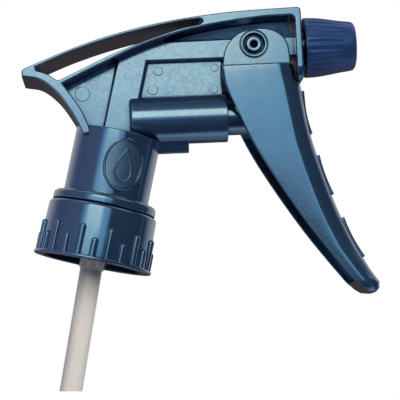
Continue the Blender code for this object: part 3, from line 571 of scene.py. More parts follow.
def combine(target, tools, operation, solver="MANIFOLD"):
    """Applies a Boolean with each tool in turn, and removes the tools."""
    for tool in tools:
        step = target.modifiers.new(operation, "BOOLEAN")
        step.operation = operation
        step.object = tool
        step.solver = solver
        bpy.context.view_layer.update()
        graph = bpy.context.evaluated_depsgraph_get()
        result = bpy.data.meshes.new_from_object(target.evaluated_get(graph))
        target.modifiers.clear()
        target.data = result
        bpy.data.objects.remove(tool)
    return target


def place_piece(piece, body, node, finish, angle=32):
    """Shades a finished piece, gives it its material, and hands it to the frame in place of its node."""
    mesh = piece.data
    mesh.materials.clear()
    mesh.materials.append(finish)
    mesh.shade_smooth()
    mesh.set_sharp_from_angle(angle=math.radians(angle))
    evened = piece.modifiers.new("even_faces", "WEIGHTED_NORMAL")
    evened.keep_sharp = True
    evened.weight = 100
    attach(piece, body)
    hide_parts(node)


# ---------------------------------------------------------------- body

def beam_outline():
    """Top beam, tail, spine and front plate as one closed outline."""
    inner = curve(BEAM_INNER)
    outer = curve(BEAM_OUTER)
    front_top = corner(PLATE_FRONT, BEAM_TOP, BEAM_BEND, 0, 80, 6)
    tail = arc(TAIL_CENTRE, TAIL_RADIUS, 105, 195, 6)
    spine_out = curve(SPINE_OUTER)
    spine_in = curve(SPINE_INNER)[:-1]
    plate_back = corner(PLATE_BACK, PLATE_ROOF, PLATE_FILLET, 80, -80)
    heel = [(PLATE_BACK + s, PLATE_FOOT + t) for s, t in millimetres(PLATE_HEEL)]
    toe = [(PLATE_FRONT + s, PLATE_FOOT + t) for s, t in millimetres(PLATE_TOE)]
    plate = [*plate_back, *heel, *toe]
    root = millimetres([SPINE_ROOT])
    return [*front_top, *outer[::-1], *tail, *spine_out, *root, *spine_in, *inner, *plate]


def plate_corner(side):
    """Cutter that rounds one lower corner of the front plate, with softened rims."""
    edge = HALF_WIDTH - PLATE_BEND
    middle = PLATE_FOOT - PLATE_DIP + PLATE_BEND
    low = middle - PLATE_BEND - OVERCUT
    far = HALF_WIDTH + OVERCUT
    bend = arc((edge, middle), PLATE_BEND, 0, -90, 12)
    outline = [(side * a, b) for a, b in [(edge, low), (far, low), (far, middle), *bend]]
    back, front = PLATE_BACK, PLATE_FRONT
    rim = PLATE_RIM
    levels = [(back - OVERCUT, rim), (back, rim), (back + 0.3 * rim, 0.5 * rim), (back + rim, 0.0)]
    levels += [(front - rim, 0.0), (front - 0.3 * rim, 0.5 * rim), (front, rim), (front + OVERCUT, rim)]
    return layered("corner", outline, levels, cross_frame())


def web_outline():
    """Thin web inside the frame, its rim sunk into the frame's walls."""
    beam = [point + Vector((0, WEB_SUNK)) for point in curve(BEAM_INNER)]
    spine = [point - Vector((WEB_SUNK, 0)) for point in curve(SPINE_INNER)]
    return [
        *spine[:-1], *beam, (PLATE_BACK + WEB_SUNK, NOZZLE_T), (WEB_FRONT, NOZZLE_T - 1 * MM),
        (WEB_FRONT, WEB_FOOT), (WEB_BACK, WEB_FOOT),
        neck_point(0, FRAME_ROOT), neck_point(WEB_HEEL, FRAME_ROOT),
    ]


def raised_outline():
    """Column round the riser and the band round the discharge line."""
    under_beam = []
    for point in curve(BEAM_INNER[1:4], 16):
        if in_neck(point).x > COLUMN_BACK + 0.2 * MM and point.y < LINE_TOP:
            under_beam.append(point + Vector((0, COLUMN_SUNK)))
    first = in_neck(under_beam[0])
    top = first.z - (first.x - COLUMN_BACK) * TILT_SIN
    end = PLATE_BACK + COLUMN_SUNK
    return [
        neck_point(COLUMN_BACK, FRAME_ROOT), neck_point(COLUMN_BACK, top), *under_beam,
        (under_beam[-1].x + COLUMN_SUNK, LINE_TOP), (end, LINE_TOP), (end, LINE_FOOT),
        (COLUMN_CORNER, LINE_FOOT), neck_point(COLUMN_FRONT, FRAME_ROOT),
    ]


def pocket_outlines():
    """The recesses behind the column, under the discharge line, and between the line and the beam."""
    beam = curve(BEAM_INNER, 16)
    behind = [point for point in beam if in_neck(point).x < COLUMN_BACK]
    tail = [
        *curve(SPINE_INNER)[:-1], *behind, neck_point(COLUMN_BACK, in_neck(behind[-1]).z),
        neck_point(COLUMN_BACK, FRAME_ROOT - 2 * MM),
    ]
    front, foot = WINDOW_END
    window = [
        neck_point(COLUMN_FRONT, BARREL_HEIGHT + 2 * MM), (COLUMN_CORNER, LINE_FOOT), (front, LINE_FOOT),
        (front, foot), (8 * MM, foot),
    ]
    ahead = [point for point in beam if point.y > LINE_TOP + 0.05 * MM]
    wedge = [*ahead, *millimetres(WEDGE_END), (PLATE_BACK, LINE_TOP)]
    return tail, window, wedge


def slot_outline():
    curves = [curve(points) for points in (SLOT_UPPER, SLOT_LOWER, SLOT_TAIL)]
    return [*curves[0], *millimetres(SLOT_END), *curves[1], *curves[2]]


def neck_profile():
    foot = CLOSURE_HEIGHT + END_GAP
    top = foot + COLLAR_HEIGHT
    return [
        (0, FLANGE_FOOT), *corner(FLANGE_RADIUS, FLANGE_FOOT, SOFT_EDGE, -90),
        *corner(FLANGE_RADIUS, FLANGE_TOP, SOFT_EDGE, 0), (NECK_RADIUS, FLANGE_TOP),
        (NECK_RADIUS, foot), *corner(COLLAR_RADIUS, foot, SOFT_EDGE, -90),
        *corner(COLLAR_RADIUS, top, COLLAR_BEND, 0, steps=8),
        *corner(NECK_RADIUS, top, COLLAR_FILLET, 270, -90),
        *corner(NECK_RADIUS, NECK_TOP, EDGE, 0), (0, NECK_TOP),
    ]


def ejector_marks():
    """Round marks left by the mould's ejector pins on both faces of the web."""
    marks = []
    top = WEB_HALF + MARK_HEIGHT
    for s, t, radius in millimetres(EJECTOR_MARKS):
        foot = WEB_HALF / 2
        bend = MARK_HEIGHT / 2
        profile = [(0, foot), (radius, foot), (radius, top - bend), (radius - bend, top), (0, top)]
        near = side_frame(s, t)
        far = near @ Matrix.Rotation(math.pi, 4, "X")
        marks += [turned(f"mark_{len(marks)}_{k}", profile, face, 40) for k, face in enumerate((near, far))]
    return marks


def raised_line(name, path, heading, width):
    """A rounded ridge on the neck, along a closed path of (across, height) points."""
    rings = []
    count = len(path)
    for k, (across, height) in enumerate(path):
        before, after = Vector(path[k - 1]), Vector(path[(k + 1) % count])
        step = (after - before).normalized()
        ring = []
        for reach, proud in EMBLEM_SECTION:
            side = across + step.y * reach * width
            out = NECK_RADIUS + proud * MM
            up = EMBLEM_HEIGHT + height - step.x * reach * width
            angle = math.radians(heading) + side / NECK_RADIUS
            ring.append(around(out, angle, up))
        rings.append(ring)
    return skin(name, rings, NECK, closed=True)


def neck_emblem():
    """A plain oval with a drop outline in it, raised on each side of the neck."""
    oval = []
    drop = []
    count = 96
    for k in range(count):
        angle = 2 * math.pi * k / count
        oval.append((EMBLEM_HALF_WIDTH * math.cos(angle), EMBLEM_HALF_HEIGHT * math.sin(angle)))
        narrow = math.sin(angle / 2) ** DROP_POINT
        drop.append((DROP_HALF_WIDTH * math.sin(angle) * narrow, DROP_HALF_HEIGHT * math.cos(angle)))
    parts = []
    for k, heading in enumerate(EMBLEM_HEADINGS):
        parts.append(raised_line(f"oval_{k}", oval, heading, EMBLEM_LINE))
        parts.append(raised_line(f"drop_{k}", drop, heading, EMBLEM_LINE))
    return parts


def make_body(finish):
    head = head_frame()
    barrel = axis_frame()
    line = axis_frame(NOZZLE_T)
    fill = slab("web", web_outline(), -WEB_HALF - FILLET, WEB_HALF + FILLET, head)
    recesses = []
    for k, (outline, lean) in enumerate(zip(pocket_outlines(), (0, 0, WEDGE_LEAN))):
        recesses += [pocket(f"recess_{k}_{side}", outline, side, head, lean) for side in (-1, 1)]
    combine(fill, recesses, "DIFFERENCE")
    beam = slab("beam", beam_outline(), -HALF_WIDTH, HALF_WIDTH, head, EDGE)
    slot = flared("slot", slot_outline(), HALF_WIDTH, SLOT_EDGE, head)
    combine(beam, [slot, plate_corner(-1), plate_corner(1)], "DIFFERENCE")
    narrow, wide = TAB_HALF_WIDTHS
    tab = [
        (wide, TAB_ROOT), (-wide, TAB_ROOT), *corner(-narrow, TAB_FOOT, TAB_BEND, 200, 70),
        *corner(narrow, TAB_FOOT, TAB_BEND, -90, 70),
    ]
    tube = [
        (0, BARREL_BACK), *corner(BARREL_RADIUS, BARREL_BACK, BARREL_BEND, -90, steps=8),
        *corner(BARREL_RADIUS, BARREL_FRONT, SOFT_EDGE, 0), (0, BARREL_FRONT),
    ]
    root = PLATE_BACK + 0.3 * MM
    spigot = [
        (0, root), (SPIGOT_RADIUS, root), *corner(SPIGOT_RADIUS, SPIGOT_TIP, SOFT_EDGE, 0), (0, SPIGOT_TIP),
    ]
    low, high = NOZZLE_THREAD
    turns = (high - low) / NOZZLE_PITCH
    crest = SPIGOT_RADIUS + NOZZLE_CREST
    body = turned("body_shell", neck_profile(), NECK, 128)
    across = side_frame(*PIVOT)
    boss = [
        (0, -PIVOT_BOSS_HALF), *corner(PIVOT_BOSS_RADIUS, -PIVOT_BOSS_HALF, SOFT_EDGE, -90, steps=1),
        *corner(PIVOT_BOSS_RADIUS, PIVOT_BOSS_HALF, SOFT_EDGE, 0, steps=1), (0, PIVOT_BOSS_HALF),
    ]
    combine(body, [
        beam, fill,
        slab("raised", raised_outline(), -RAISED_HALF, RAISED_HALF, head, RAISED_EDGE),
        turned("barrel", tube, barrel, 112),
        slab("tab", tab, TAB_BACK, TAB_FRONT, cross_frame(), SOFT_EDGE),
        turned("pivot_boss", boss, across),
        turned("spigot", spigot, line),
        helix_ridge("thread", SPIGOT_RADIUS, crest, NOZZLE_THREAD_WIDTH, low, NOZZLE_PITCH, turns, line),
        *ejector_marks(), *neck_emblem(),
    ], "UNION")
    combine(body, body_hollows(), "DIFFERENCE")
    place_piece(body, "head", "body", finish)


def body_hollows():
    """Neck cavity, inlet socket, riser, bore, discharge line, outlet valve and pin holes."""
    barrel = axis_frame()
    line = axis_frame(NOZZLE_T)
    seat = VALVE_RADIUS - LINE_RADIUS
    valve = [
        (0, VALVE_SEAT - OVERCUT), (LINE_RADIUS, VALVE_SEAT - OVERCUT), (LINE_RADIUS, VALVE_SEAT),
        (VALVE_RADIUS, VALVE_SEAT + seat), (VALVE_RADIUS, SPIGOT_TIP + OVERCUT), (0, SPIGOT_TIP + OVERCUT),
    ]
    below = FLANGE_FOOT - OVERCUT
    cavity = [
        (0, below), (CAVITY_RADIUS, below), (CAVITY_RADIUS, CAVITY_TOP), (SOCKET_RADIUS, CAVITY_TOP),
        (SOCKET_RADIUS, SOCKET_FOOT), (0, SOCKET_FOOT),
    ]
    line_start = NOZZLE_T * math.tan(HEAD_TILT)
    line_height = BARREL_HEIGHT + NOZZLE_T / TILT_COS
    room_top = RETAINER_TOP + END_GAP
    stems = []
    for side in (-1, 1):
        low, high = sorted((side * (PIN_ROOT - END_GAP), side * (PIVOT_BOSS_HALF + OVERCUT)))
        stems.append(rod(f"stem_{side}", PIN_STEM + FIT_GAP, low, high, side_frame(*PIVOT), 32))
    return [
        turned("cavity", cavity, NECK),
        rod("socket", RETAINER_RADIUS + FIT_GAP, SOCKET_FOOT - OVERCUT, room_top, NECK),
        rod("riser", RISER_RADIUS, room_top - 0.5 * MM, line_height, NECK, 32),
        rod("bore", BORE_RADIUS, BORE_BACK, BARREL_FRONT + OVERCUT, barrel, 96),
        rod("port", PORT_RADIUS, PORT_BACK, BORE_BACK + OVERCUT, barrel, 32),
        rod("line", LINE_RADIUS, line_start - 0.5 * MM, VALVE_SEAT - 0.5 * MM, line, 32),
        turned("valve", valve, line),
        *stems,
    ]


# ---------------------------------------------------------------- closure and inlet

def make_closure(finish):
    inside_top = CLOSURE_HEIGHT - CLOSURE_TOP_WALL
    profile = [
        (CLOSURE_BORE, 0), *corner(RIM_RADIUS, 0, RIM_EDGE, -90),
        *corner(RIM_RADIUS, RIM_HEIGHT, RIM_EDGE, 0, 80), (CLOSURE_FOOT_RADIUS, RIM_HEIGHT + RIM_RISE),
        *corner(CLOSURE_HEAD_RADIUS, CLOSURE_HEIGHT, CLOSURE_SHOULDER, 2, 88, 8),
        *corner(CLOSURE_EYE, CLOSURE_HEIGHT, EYE_EDGE, 90, steps=1),
        (CLOSURE_EYE, inside_top), (CLOSURE_BORE, inside_top),
    ]
    closure = turned("closure_shell", profile, NECK, 144)
    parts = []
    for k in range(RIB_COUNT):
        top = RIB_SHORT if k % 2 == 0 else RIB_LONG
        outline = [
            (-RIB_HALF_WIDTH, RIB_FOOT), (RIB_HALF_WIDTH, RIB_FOOT),
            *arc((0, top - RIB_HALF_WIDTH), RIB_HALF_WIDTH, 0, 180, 10),
        ]
        turn = NECK @ Matrix.Rotation(2 * math.pi * k / RIB_COUNT, 4, "Z")
        root = RIB_SUNK - CLOSURE_HEAD_RADIUS
        parts.append(slab(f"rib_{k}", outline, -RIB_REACH, root, turn, RIB_ROUNDING))
    parts.append(helix_ridge("thread", CLOSURE_BORE, THREAD_CREST, THREAD_WIDTH, THREAD_START, THREAD_PITCH,
                             THREAD_TURNS, NECK))
    combine(closure, parts, "UNION")
    place_piece(closure, "closure", "closure", finish)


def make_inlet(clear, tube, foam, steel):
    foot, top = (corner.z for corner in neck_box("bottle_gasket"))
    inner, outer = GASKET_RADII
    sides = ((inner, foot, 180), (outer, foot, 270), (outer, top, 0), (inner, top, 90))
    section = []
    for radius, height, start in sides:
        section += corner(radius, height, GASKET_EDGE, start)
    gasket = turned("bottle_gasket_ring", section, NECK)
    place_piece(gasket, "head", "bottle_gasket", foam)
    bore = TUBE_RADIUS + FIT_GAP
    cone = BALL_ROOM_RADIUS - SEAT_RADIUS
    lip = RETAINER_LIP
    lip_middle = (bore + 1.2 * lip, RETAINER_FOOT + lip)
    retainer = turned("tube_retainer_sleeve", [
        (bore, RETAINER_FOOT + lip), *arc(lip_middle, lip, 180, 360, 8),
        (RETAINER_RADIUS, RETAINER_FOOT + 2 * lip), (RETAINER_RADIUS, RETAINER_TOP),
        (BALL_ROOM_RADIUS, RETAINER_TOP), (BALL_ROOM_RADIUS, SEAT_FOOT + cone), (SEAT_RADIUS, SEAT_FOOT),
        (SEAT_RADIUS, TUBE_TOP + END_GAP), (bore, TUBE_TOP + END_GAP),
    ], NECK)
    place_piece(retainer, "head", "tube_retainer", clear)
    low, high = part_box("inlet_ball")
    inlet_ball = ball("inlet_ball_bearing", BALL_RADIUS, Matrix.Translation((low + high) / 2))
    place_piece(inlet_ball, "inlet_ball", "inlet_ball", steel)
    make_dip_tube(tube)


def make_dip_tube(finish):
    """The tube hangs straight in its sleeve, bows forward below it and ends in a slanted cut."""
    rings = []
    steps = 40
    segments = 64
    for wall in (TUBE_RADIUS, TUBE_BORE):
        rows = []
        for k in range(steps + 1):
            share = max(k - 1, 0) / (steps - 1)
            height = TUBE_TOP if k == 0 else RETAINER_FOOT + (TUBE_FOOT - RETAINER_FOOT) * share
            slant = math.tan(TUBE_CUT) * share**4
            row = []
            for i in range(segments):
                angle = 2 * math.pi * i / segments
                x = wall * math.cos(angle)
                row.append((x + TUBE_DRIFT * share, wall * math.sin(angle), height + x * slant))
            rows.append(row)
        rings += rows if wall == TUBE_RADIUS else rows[::-1]
    tube = skin("dip_tube_pipe", rings, NECK, closed=True)
    place_piece(tube, "head", "dip_tube", finish)


# ---------------------------------------------------------------- pump

def make_pump(finish, rubber, steel):
    grooves = []
    for low, high in (VENT_SEAL, PISTON_SEAL):
        grooves += [
            (PLUNGER_RADIUS, high + FIT_GAP), (SEAL_SEAT, high + FIT_GAP),
            (SEAL_SEAT, low - FIT_GAP), (PLUNGER_RADIUS, low - FIT_GAP),
        ]
    profile = [
        (0, HOLLOW_FRONT), (0, PLUNGER_FRONT),
        *corner(PLUNGER_RADIUS, PLUNGER_FRONT, EDGE, 90, -90), *grooves,
        (PLUNGER_RADIUS - EDGE, PLUNGER_BACK), (PLUNGER_HOLLOW, PLUNGER_BACK), (PLUNGER_HOLLOW, HOLLOW_FRONT),
    ]
    plunger = turned("plunger_rod", profile, axis_frame(), 96)
    room = CROSS_BAR_RADIUS + NOTCH_ROOM
    back = -CROSS_BAR_RADIUS - NOTCH_PLAY
    far = 2 * PLUNGER_RADIUS
    notch = [(back, -room), (far, -room), (far, room), (back, room)]
    combine(plunger, [slab("notch", notch, -far, far, head_frame(*CROSS_BAR))], "DIFFERENCE")
    place_piece(plunger, "plunger", "plunger", finish)
    lip = BORE_RADIUS - FIT_GAP
    for name, (low, high) in (("piston_seal", PISTON_SEAL), ("vent_seal", VENT_SEAL)):
        lower_lip = [(lip - back_off, low + up) for back_off, up in millimetres(SEAL_LIP)]
        upper_lip = [(lip - back_off, high - down) for back_off, down in millimetres(SEAL_LIP[::-1])]
        waist = (lip - SEAL_WAIST, (low + high) / 2)
        ring = [(SEAL_SEAT + FIT_GAP, low), *lower_lip, waist, *upper_lip, (SEAL_SEAT + FIT_GAP, high)]
        seal = turned(name + "_ring", ring, axis_frame())
        place_piece(seal, "plunger", name, rubber)
    low = BORE_BACK + SPRING_PLAY
    high = HOLLOW_FRONT - SPRING_PLAY
    spring = coil("return_spring_coil", SPRING_RADIUS, SPRING_WIRE, low, high, SPRING_TURNS, axis_frame())
    place_piece(spring, "head", "return_spring", steel)
    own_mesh(spring)


# ---------------------------------------------------------------- trigger

def trigger_front(steps):
    """The lever's front curve from its shoulder behind the front plate to its tip."""
    return curve(TRIGGER_SHOULDER + TRIGGER_FRONT, steps)


def front_corner(point):
    """Radius of the corner in front of the flat side, smaller behind the front plate."""
    side_end = TRIGGER_SIDE[0] + TRIGGER_SIDE_SLOPE * (TRIGGER_SIDE[1] - point.y)
    return min(TRIGGER_CORNER, point.x - side_end)


def trigger_stations():
    """(back point, front point, half width, corner radius) of each section from the top to the tip."""
    back = curve(TRIGGER_BACK, 16)
    front = trigger_front(16)
    stations = []
    rim_share = TRIGGER_RIM / sum((b - a).length for a, b in zip(back, back[1:]))
    for less, down in rounding(TRIGGER_RIM, 5)[:-1]:
        share = rim_share * down / TRIGGER_RIM
        front_point = along(front, share) - Vector((less, 0))
        bend = front_corner(front_point) - less
        stations.append((along(back, share), front_point, HALF_WIDTH - less, bend))
    for k in range(TRIGGER_STATIONS + 1):
        share = rim_share + (1 - rim_share) * k / TRIGGER_STATIONS
        half = HALF_WIDTH - TRIGGER_DRAFT * share
        stations.append((along(back, share), along(front, share), half, front_corner(along(front, share))))
    for ends, less in zip(TRIGGER_TIP, TRIGGER_TIP_LESS):
        back_point, front_point = (Vector(point) for point in millimetres(ends))
        stations.append((back_point, front_point, HALF_WIDTH - TRIGGER_DRAFT - less, TRIGGER_TIP_CORNER))
    return stations


def trigger_section(back, front, half, corner, wall=0.0, behind=0.0):
    """A U-shaped outline between the two points, moved in by the wall."""
    ahead = (front - back).normalized()
    reach = (front - back).length - wall
    half -= wall
    bend = min(corner, 0.7 * reach) - wall
    lip = 0 if wall else TRIGGER_LIP
    side = [(-behind, half - lip)]
    if lip:
        side += [(0.29 * lip, half - 0.29 * lip), (lip, half)]
    for k in range(17):
        angle = math.pi / 2 * k / 16
        side.append((reach - bend + bend * math.sin(angle), half - bend + bend * math.cos(angle)))
    ring = [(f, -y) for f, y in side] + [(f, y) for f, y in reversed(side)]
    return [((back + ahead * f).x, y, (back + ahead * f).y) for f, y in ring]


def pad_outline(span):
    """A raised finger pad on the front curve, hollowed a little in the middle."""
    front = trigger_front(32)
    upper = []
    lower = []
    steps = 28
    for k in range(steps + 1):
        height = (span[0] + (span[1] - span[0]) * k / steps) * MM
        above, below = next((a, b) for a, b in zip(front, front[1:]) if b.y <= height)
        middle = above.lerp(below, (above.y - height) / (above.y - below.y))
        step = (below - above).normalized()
        outward = Vector((-step.y, step.x))
        upper.append(middle + outward * PAD_HEIGHT * (1 - PAD_HOLLOW * math.sin(math.pi * k / steps)))
        lower.append(middle - outward * PAD_SUNK)
    return upper + lower[::-1]


def make_trigger(finish):
    head = head_frame()
    stations = trigger_stations()
    trigger = skin("trigger_lever", [trigger_section(*station) for station in stations], head)
    far = 3 * OVERCUT
    hollow = [trigger_section(*station, TRIGGER_WALL, far) for station in stations[:-3]]
    above = [(x, y, z + far) for x, y, z in hollow[0]]
    combine(trigger, [skin("hollow", [above] + hollow, head)], "DIFFERENCE")
    arch = curve(EAR_OUTLINE, 10) + millimetres(EAR_FOOT)
    inside = HALF_WIDTH - TRIGGER_WALL / 2
    parts = [
        slab("ear_left", arch, -EAR_OUTER, -EAR_INNER, head, EAR_EDGE),
        slab("ear_right", arch, EAR_INNER, EAR_OUTER, head, EAR_EDGE),
        rod("bar", CROSS_BAR_RADIUS, -inside, inside, side_frame(*CROSS_BAR), 48),
    ]
    for k, span in enumerate(PAD_SPANS):
        parts.append(slab(f"pad_{k}", pad_outline(span), -PAD_HALF_WIDTH, PAD_HALF_WIDTH, head, PAD_EDGE))
    combine(trigger, parts, "UNION")
    across = side_frame(*PIVOT)
    far = 2 * HALF_WIDTH
    sink = EAR_OUTER - EAR_SINK_DEPTH
    eye = PIN_RADIUS + PIN_PLAY
    combine(trigger, [
        rod("eye", eye, -far, far, across, 72),
        rod("sink_left", EAR_SINK_RADIUS, sink, far, across, 72),
        rod("sink_right", EAR_SINK_RADIUS, -far, -sink, across, 72),
    ], "DIFFERENCE")
    place_piece(trigger, "trigger", "trigger", finish)


def make_pins(finish):
    head_radius, rim, groove, core = 3.82 * MM, 3.1 * MM, 2.15 * MM, 1.06 * MM
    foot = PIVOT_BOSS_HALF + PIN_PLAY
    under = EAR_OUTER - EAR_SINK_DEPTH + 0.08 * MM
    bend = 0.2 * MM
    floor = PIN_END - 1.3 * MM
    inner = PIN_END - 0.15 * MM
    profile = [
        (0, PIN_ROOT), (PIN_STEM, PIN_ROOT), (PIN_STEM, foot), (PIN_RADIUS, foot), (PIN_RADIUS, under),
        (head_radius, under), *corner(head_radius, PIN_END, bend, 0), *corner(rim, PIN_END, bend, 90),
        ((rim + groove) / 2 + 0.1 * MM, floor), ((rim + groove) / 2 - 0.1 * MM, floor),
        *corner(groove, inner, bend, 0), *corner(core, inner, bend, 90),
        (core, PIN_ROOT + 3 * MM), (0, PIN_ROOT + 1 * MM),
    ]
    across = side_frame(*PIVOT)
    other = across @ Matrix.Rotation(math.pi, 4, "X")
    for node, place in (("pivot_pin_left", across), ("pivot_pin_right", other)):
        pin = turned(node + "_stud", profile, place, 72)
        place_piece(pin, "head", node, finish)


# ---------------------------------------------------------------- nozzle

def make_outlet(finish, clear, rubber, steel, polished):
    low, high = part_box("discharge_ball")
    centre = (low + high) / 2
    outlet_ball = ball("discharge_ball_bearing", BALL_RADIUS, Matrix.Translation(centre))
    place_piece(outlet_ball, "discharge_ball", "discharge_ball", polished)
    line = axis_frame(NOZZLE_T)
    rise = math.sqrt(BALL_RADIUS**2 - LINE_RADIUS**2)
    start = VALVE_SEAT + 2 * rise + 0.45 * MM
    end = SPINNER_BACK - SPRING_PLAY
    spring = coil("discharge_spring_coil", LINE_RADIUS, OUTLET_WIRE, start, end, OUTLET_TURNS, line)
    place_piece(spring, "head", "discharge_spring", steel)
    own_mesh(spring)
    core = VALVE_RADIUS - FIT_GAP
    neck, tip = SPINNER_NECK, SPINNER_TIP
    spinner = turned("spinner_core", [
        (0, SPINNER_BACK), (core, SPINNER_BACK), (core, SPIGOT_TIP - 0.5 * MM), (neck, SPIGOT_TIP - 0.2 * MM),
        (neck, SPINNER_FRONT - 0.4 * MM), (tip, SPINNER_FRONT), (0, SPINNER_FRONT),
    ], line, 72)
    floor = GROOVE_FLOOR
    wall = core + OVERCUT
    back, front = SPINNER_BACK - OVERCUT, SPINNER_FRONT + OVERCUT
    outline = [(floor, back), (wall, back), (wall, front), (floor, front)]
    grooves = []
    for k in range(GROOVE_COUNT):
        turn = line @ Matrix.Rotation(2 * math.pi * k / GROOVE_COUNT, 4, "Z")
        grooves.append(slab(f"groove_{k}", outline, -GROOVE_HALF, GROOVE_HALF, turn))
    combine(spinner, grooves, "DIFFERENCE")
    place_piece(spinner, "head", "spinner", clear)
    middle = (SPIGOT_RADIUS + CAP_BORE) / 2
    ring = arc((middle, 0), NOZZLE_SEAL_SECTION, 0, 330, 11)
    seal = turned("nozzle_seal_ring", ring, axis_frame(NOZZLE_T, SEAL_S))
    place_piece(seal, "nozzle_slide", "nozzle_seal", rubber)
    make_nozzle_cap(finish)


def make_nozzle_cap(finish):
    """A tapered cap with flutes that fade out towards its front, threaded inside."""
    line = axis_frame(NOZZLE_T)
    outer = curve(CAP_PROFILE, 6)
    rim, edge, floor = DISH_RADII
    dish = CAP_FRONT - DISH_DEPTH
    inner = [
        (CAP_FRONT, rim), (CAP_FRONT - 0.15 * MM, edge), (dish, floor), (dish, ORIFICE_RADIUS),
        (CAP_END_WALL, ORIFICE_RADIUS),
        (CAP_END_WALL, SPIGOT_RADIUS + END_GAP), (SEAL_S + 1.6 * MM, SPIGOT_RADIUS + END_GAP),
        (SEAL_S + 1.2 * MM, CAP_BORE), (CAP_BACK + 0.5 * MM, CAP_BORE), (CAP_BACK, CAP_BORE + 0.5 * MM),
    ]
    rings = []
    per_flute = 12
    count = FLUTE_COUNT * per_flute
    for k in range(count):
        angle = 2 * math.pi * k / count
        groove = math.cos(math.pi * k / per_flute) ** 4
        ring = []
        for s, r in outer:
            fade = min(max((FLUTE_END - s) / FLUTE_FADE, 0), 1)
            start = min(max((s - FLUTE_START) / FLUTE_RISE, 0), 1)
            deep = r - FLUTE_DEPTH * groove * fade * start
            ring.append(around(deep, angle, s))
        ring += [around(r, angle, s) for s, r in inner]
        rings.append(ring)
    cap = skin("nozzle_cap_shell", rings, line, closed=True)
    low = NOZZLE_THREAD[0] + NOZZLE_PITCH / 2
    crest = CAP_BORE - NOZZLE_CREST
    thread = helix_ridge("thread", CAP_BORE, crest, NOZZLE_THREAD_WIDTH, low, NOZZLE_PITCH, CAP_TURNS, line)
    combine(cap, [thread], "UNION")
    place_piece(cap, "nozzle_cap", "nozzle_cap", finish, 50)


# ---------------------------------------------------------------- materials

PEARL_FACE = ((0.10, 0.235, 0.38), (0.118, 0.275, 0.42))
PEARL_GRAZING = (0.085, 0.095, 0.20)
# Painted shade: the colour that crevices and recesses are darkened to
PEARL_PAINTED_SHADE = (0.008, 0.012, 0.028)
NAVY = ((0.02, 0.062, 0.18), (0.026, 0.078, 0.21))
STEEL = ((0.58, 0.58, 0.6), (0.68, 0.68, 0.7))
EMBLEM_STIPPLE = 0.34  # extra roughness inside the emblem's oval


class Graph:
    """A node tree with short calls. A value is a number, a colour or another node's output."""

    def __init__(self, tree):
        self.tree = tree

    def add(self, kind, **settings):
        node = self.tree.nodes.new(kind)
        for key, value in settings.items():
            setattr(node, key, value)
        return node

    def feed(self, target, value):
        if isinstance(value, (int, float)):
            target.default_value = value
        elif isinstance(value, tuple):
            target.default_value = (*value, 1)
        else:
            self.tree.links.new(value, target)

    def calculate(self, operation, *values):
        node = self.add("ShaderNodeMath", operation=operation)
        for target, value in zip(node.inputs, values):
            self.feed(target, value)
        return node.outputs[0]

    def ramp(self, value, low, high, first=0.0, second=1.0, kind="LINEAR"):
        """First where the value is low, second where it is high."""
        node = self.add("ShaderNodeMapRange", interpolation_type=kind)
        self.feed(node.inputs["Value"], value)
        for name, given in (("From Min", low), ("From Max", high), ("To Min", first), ("To Max", second)):
            node.inputs[name].default_value = given
        return node.outputs["Result"]

    def blend(self, share, first, second):
        """A colour between the two."""
        node = self.add("ShaderNodeMix", data_type="RGBA")
        self.feed(node.inputs["Factor"], share)
        colours = [entry for entry in node.inputs if entry.type == "RGBA"]
        for target, value in zip(colours, (first, second)):
            self.feed(target, value)
        return next(entry for entry in node.outputs if entry.type == "RGBA")


class Finish(Graph):
    """A material and its principled shader."""

    def __init__(self, name):
        self.made = bpy.data.materials.new(name)
        self.made.use_nodes = True
        super().__init__(self.made.node_tree)
        self.shader = self.tree.nodes["Principled BSDF"]

    def noise(self, scale, detail=2.0, stretch=(1, 1, 1)):
        place = self.add("ShaderNodeTexCoord")
        mapping = self.add("ShaderNodeMapping")
        mapping.inputs["Scale"].default_value = stretch
        texture = self.add("ShaderNodeTexNoise")
        self.feed(texture.inputs["Scale"], scale)
        self.feed(texture.inputs["Detail"], detail)
        self.feed(mapping.inputs["Vector"], place.outputs["Object"])
        self.feed(texture.inputs["Vector"], mapping.outputs["Vector"])
        return texture.outputs["Fac"]

    def spread(self, value, low=0.0, high=1.0):
        """A noise's middle range mapped onto low to high."""
        return self.ramp(value, 0.3, 0.7, low, high)

    def bump(self, height, distance, before=None):
        node = self.add("ShaderNodeBump")
        self.feed(node.inputs["Strength"], 1.0)
        self.feed(node.inputs["Distance"], distance)
        self.feed(node.inputs["Height"], height)
        if before:
            self.feed(node.inputs["Normal"], before)
        return node.outputs["Normal"]

    def rounded(self, radius):
        """The surface's direction with its edges softened."""
        node = self.add("ShaderNodeBevel", samples=6)
        self.feed(node.inputs["Radius"], radius)
        return node.outputs["Normal"]

    def set(self, **values):
        for name, value in values.items():
            self.feed(self.shader.inputs[name.replace("_", " ").title()], value)


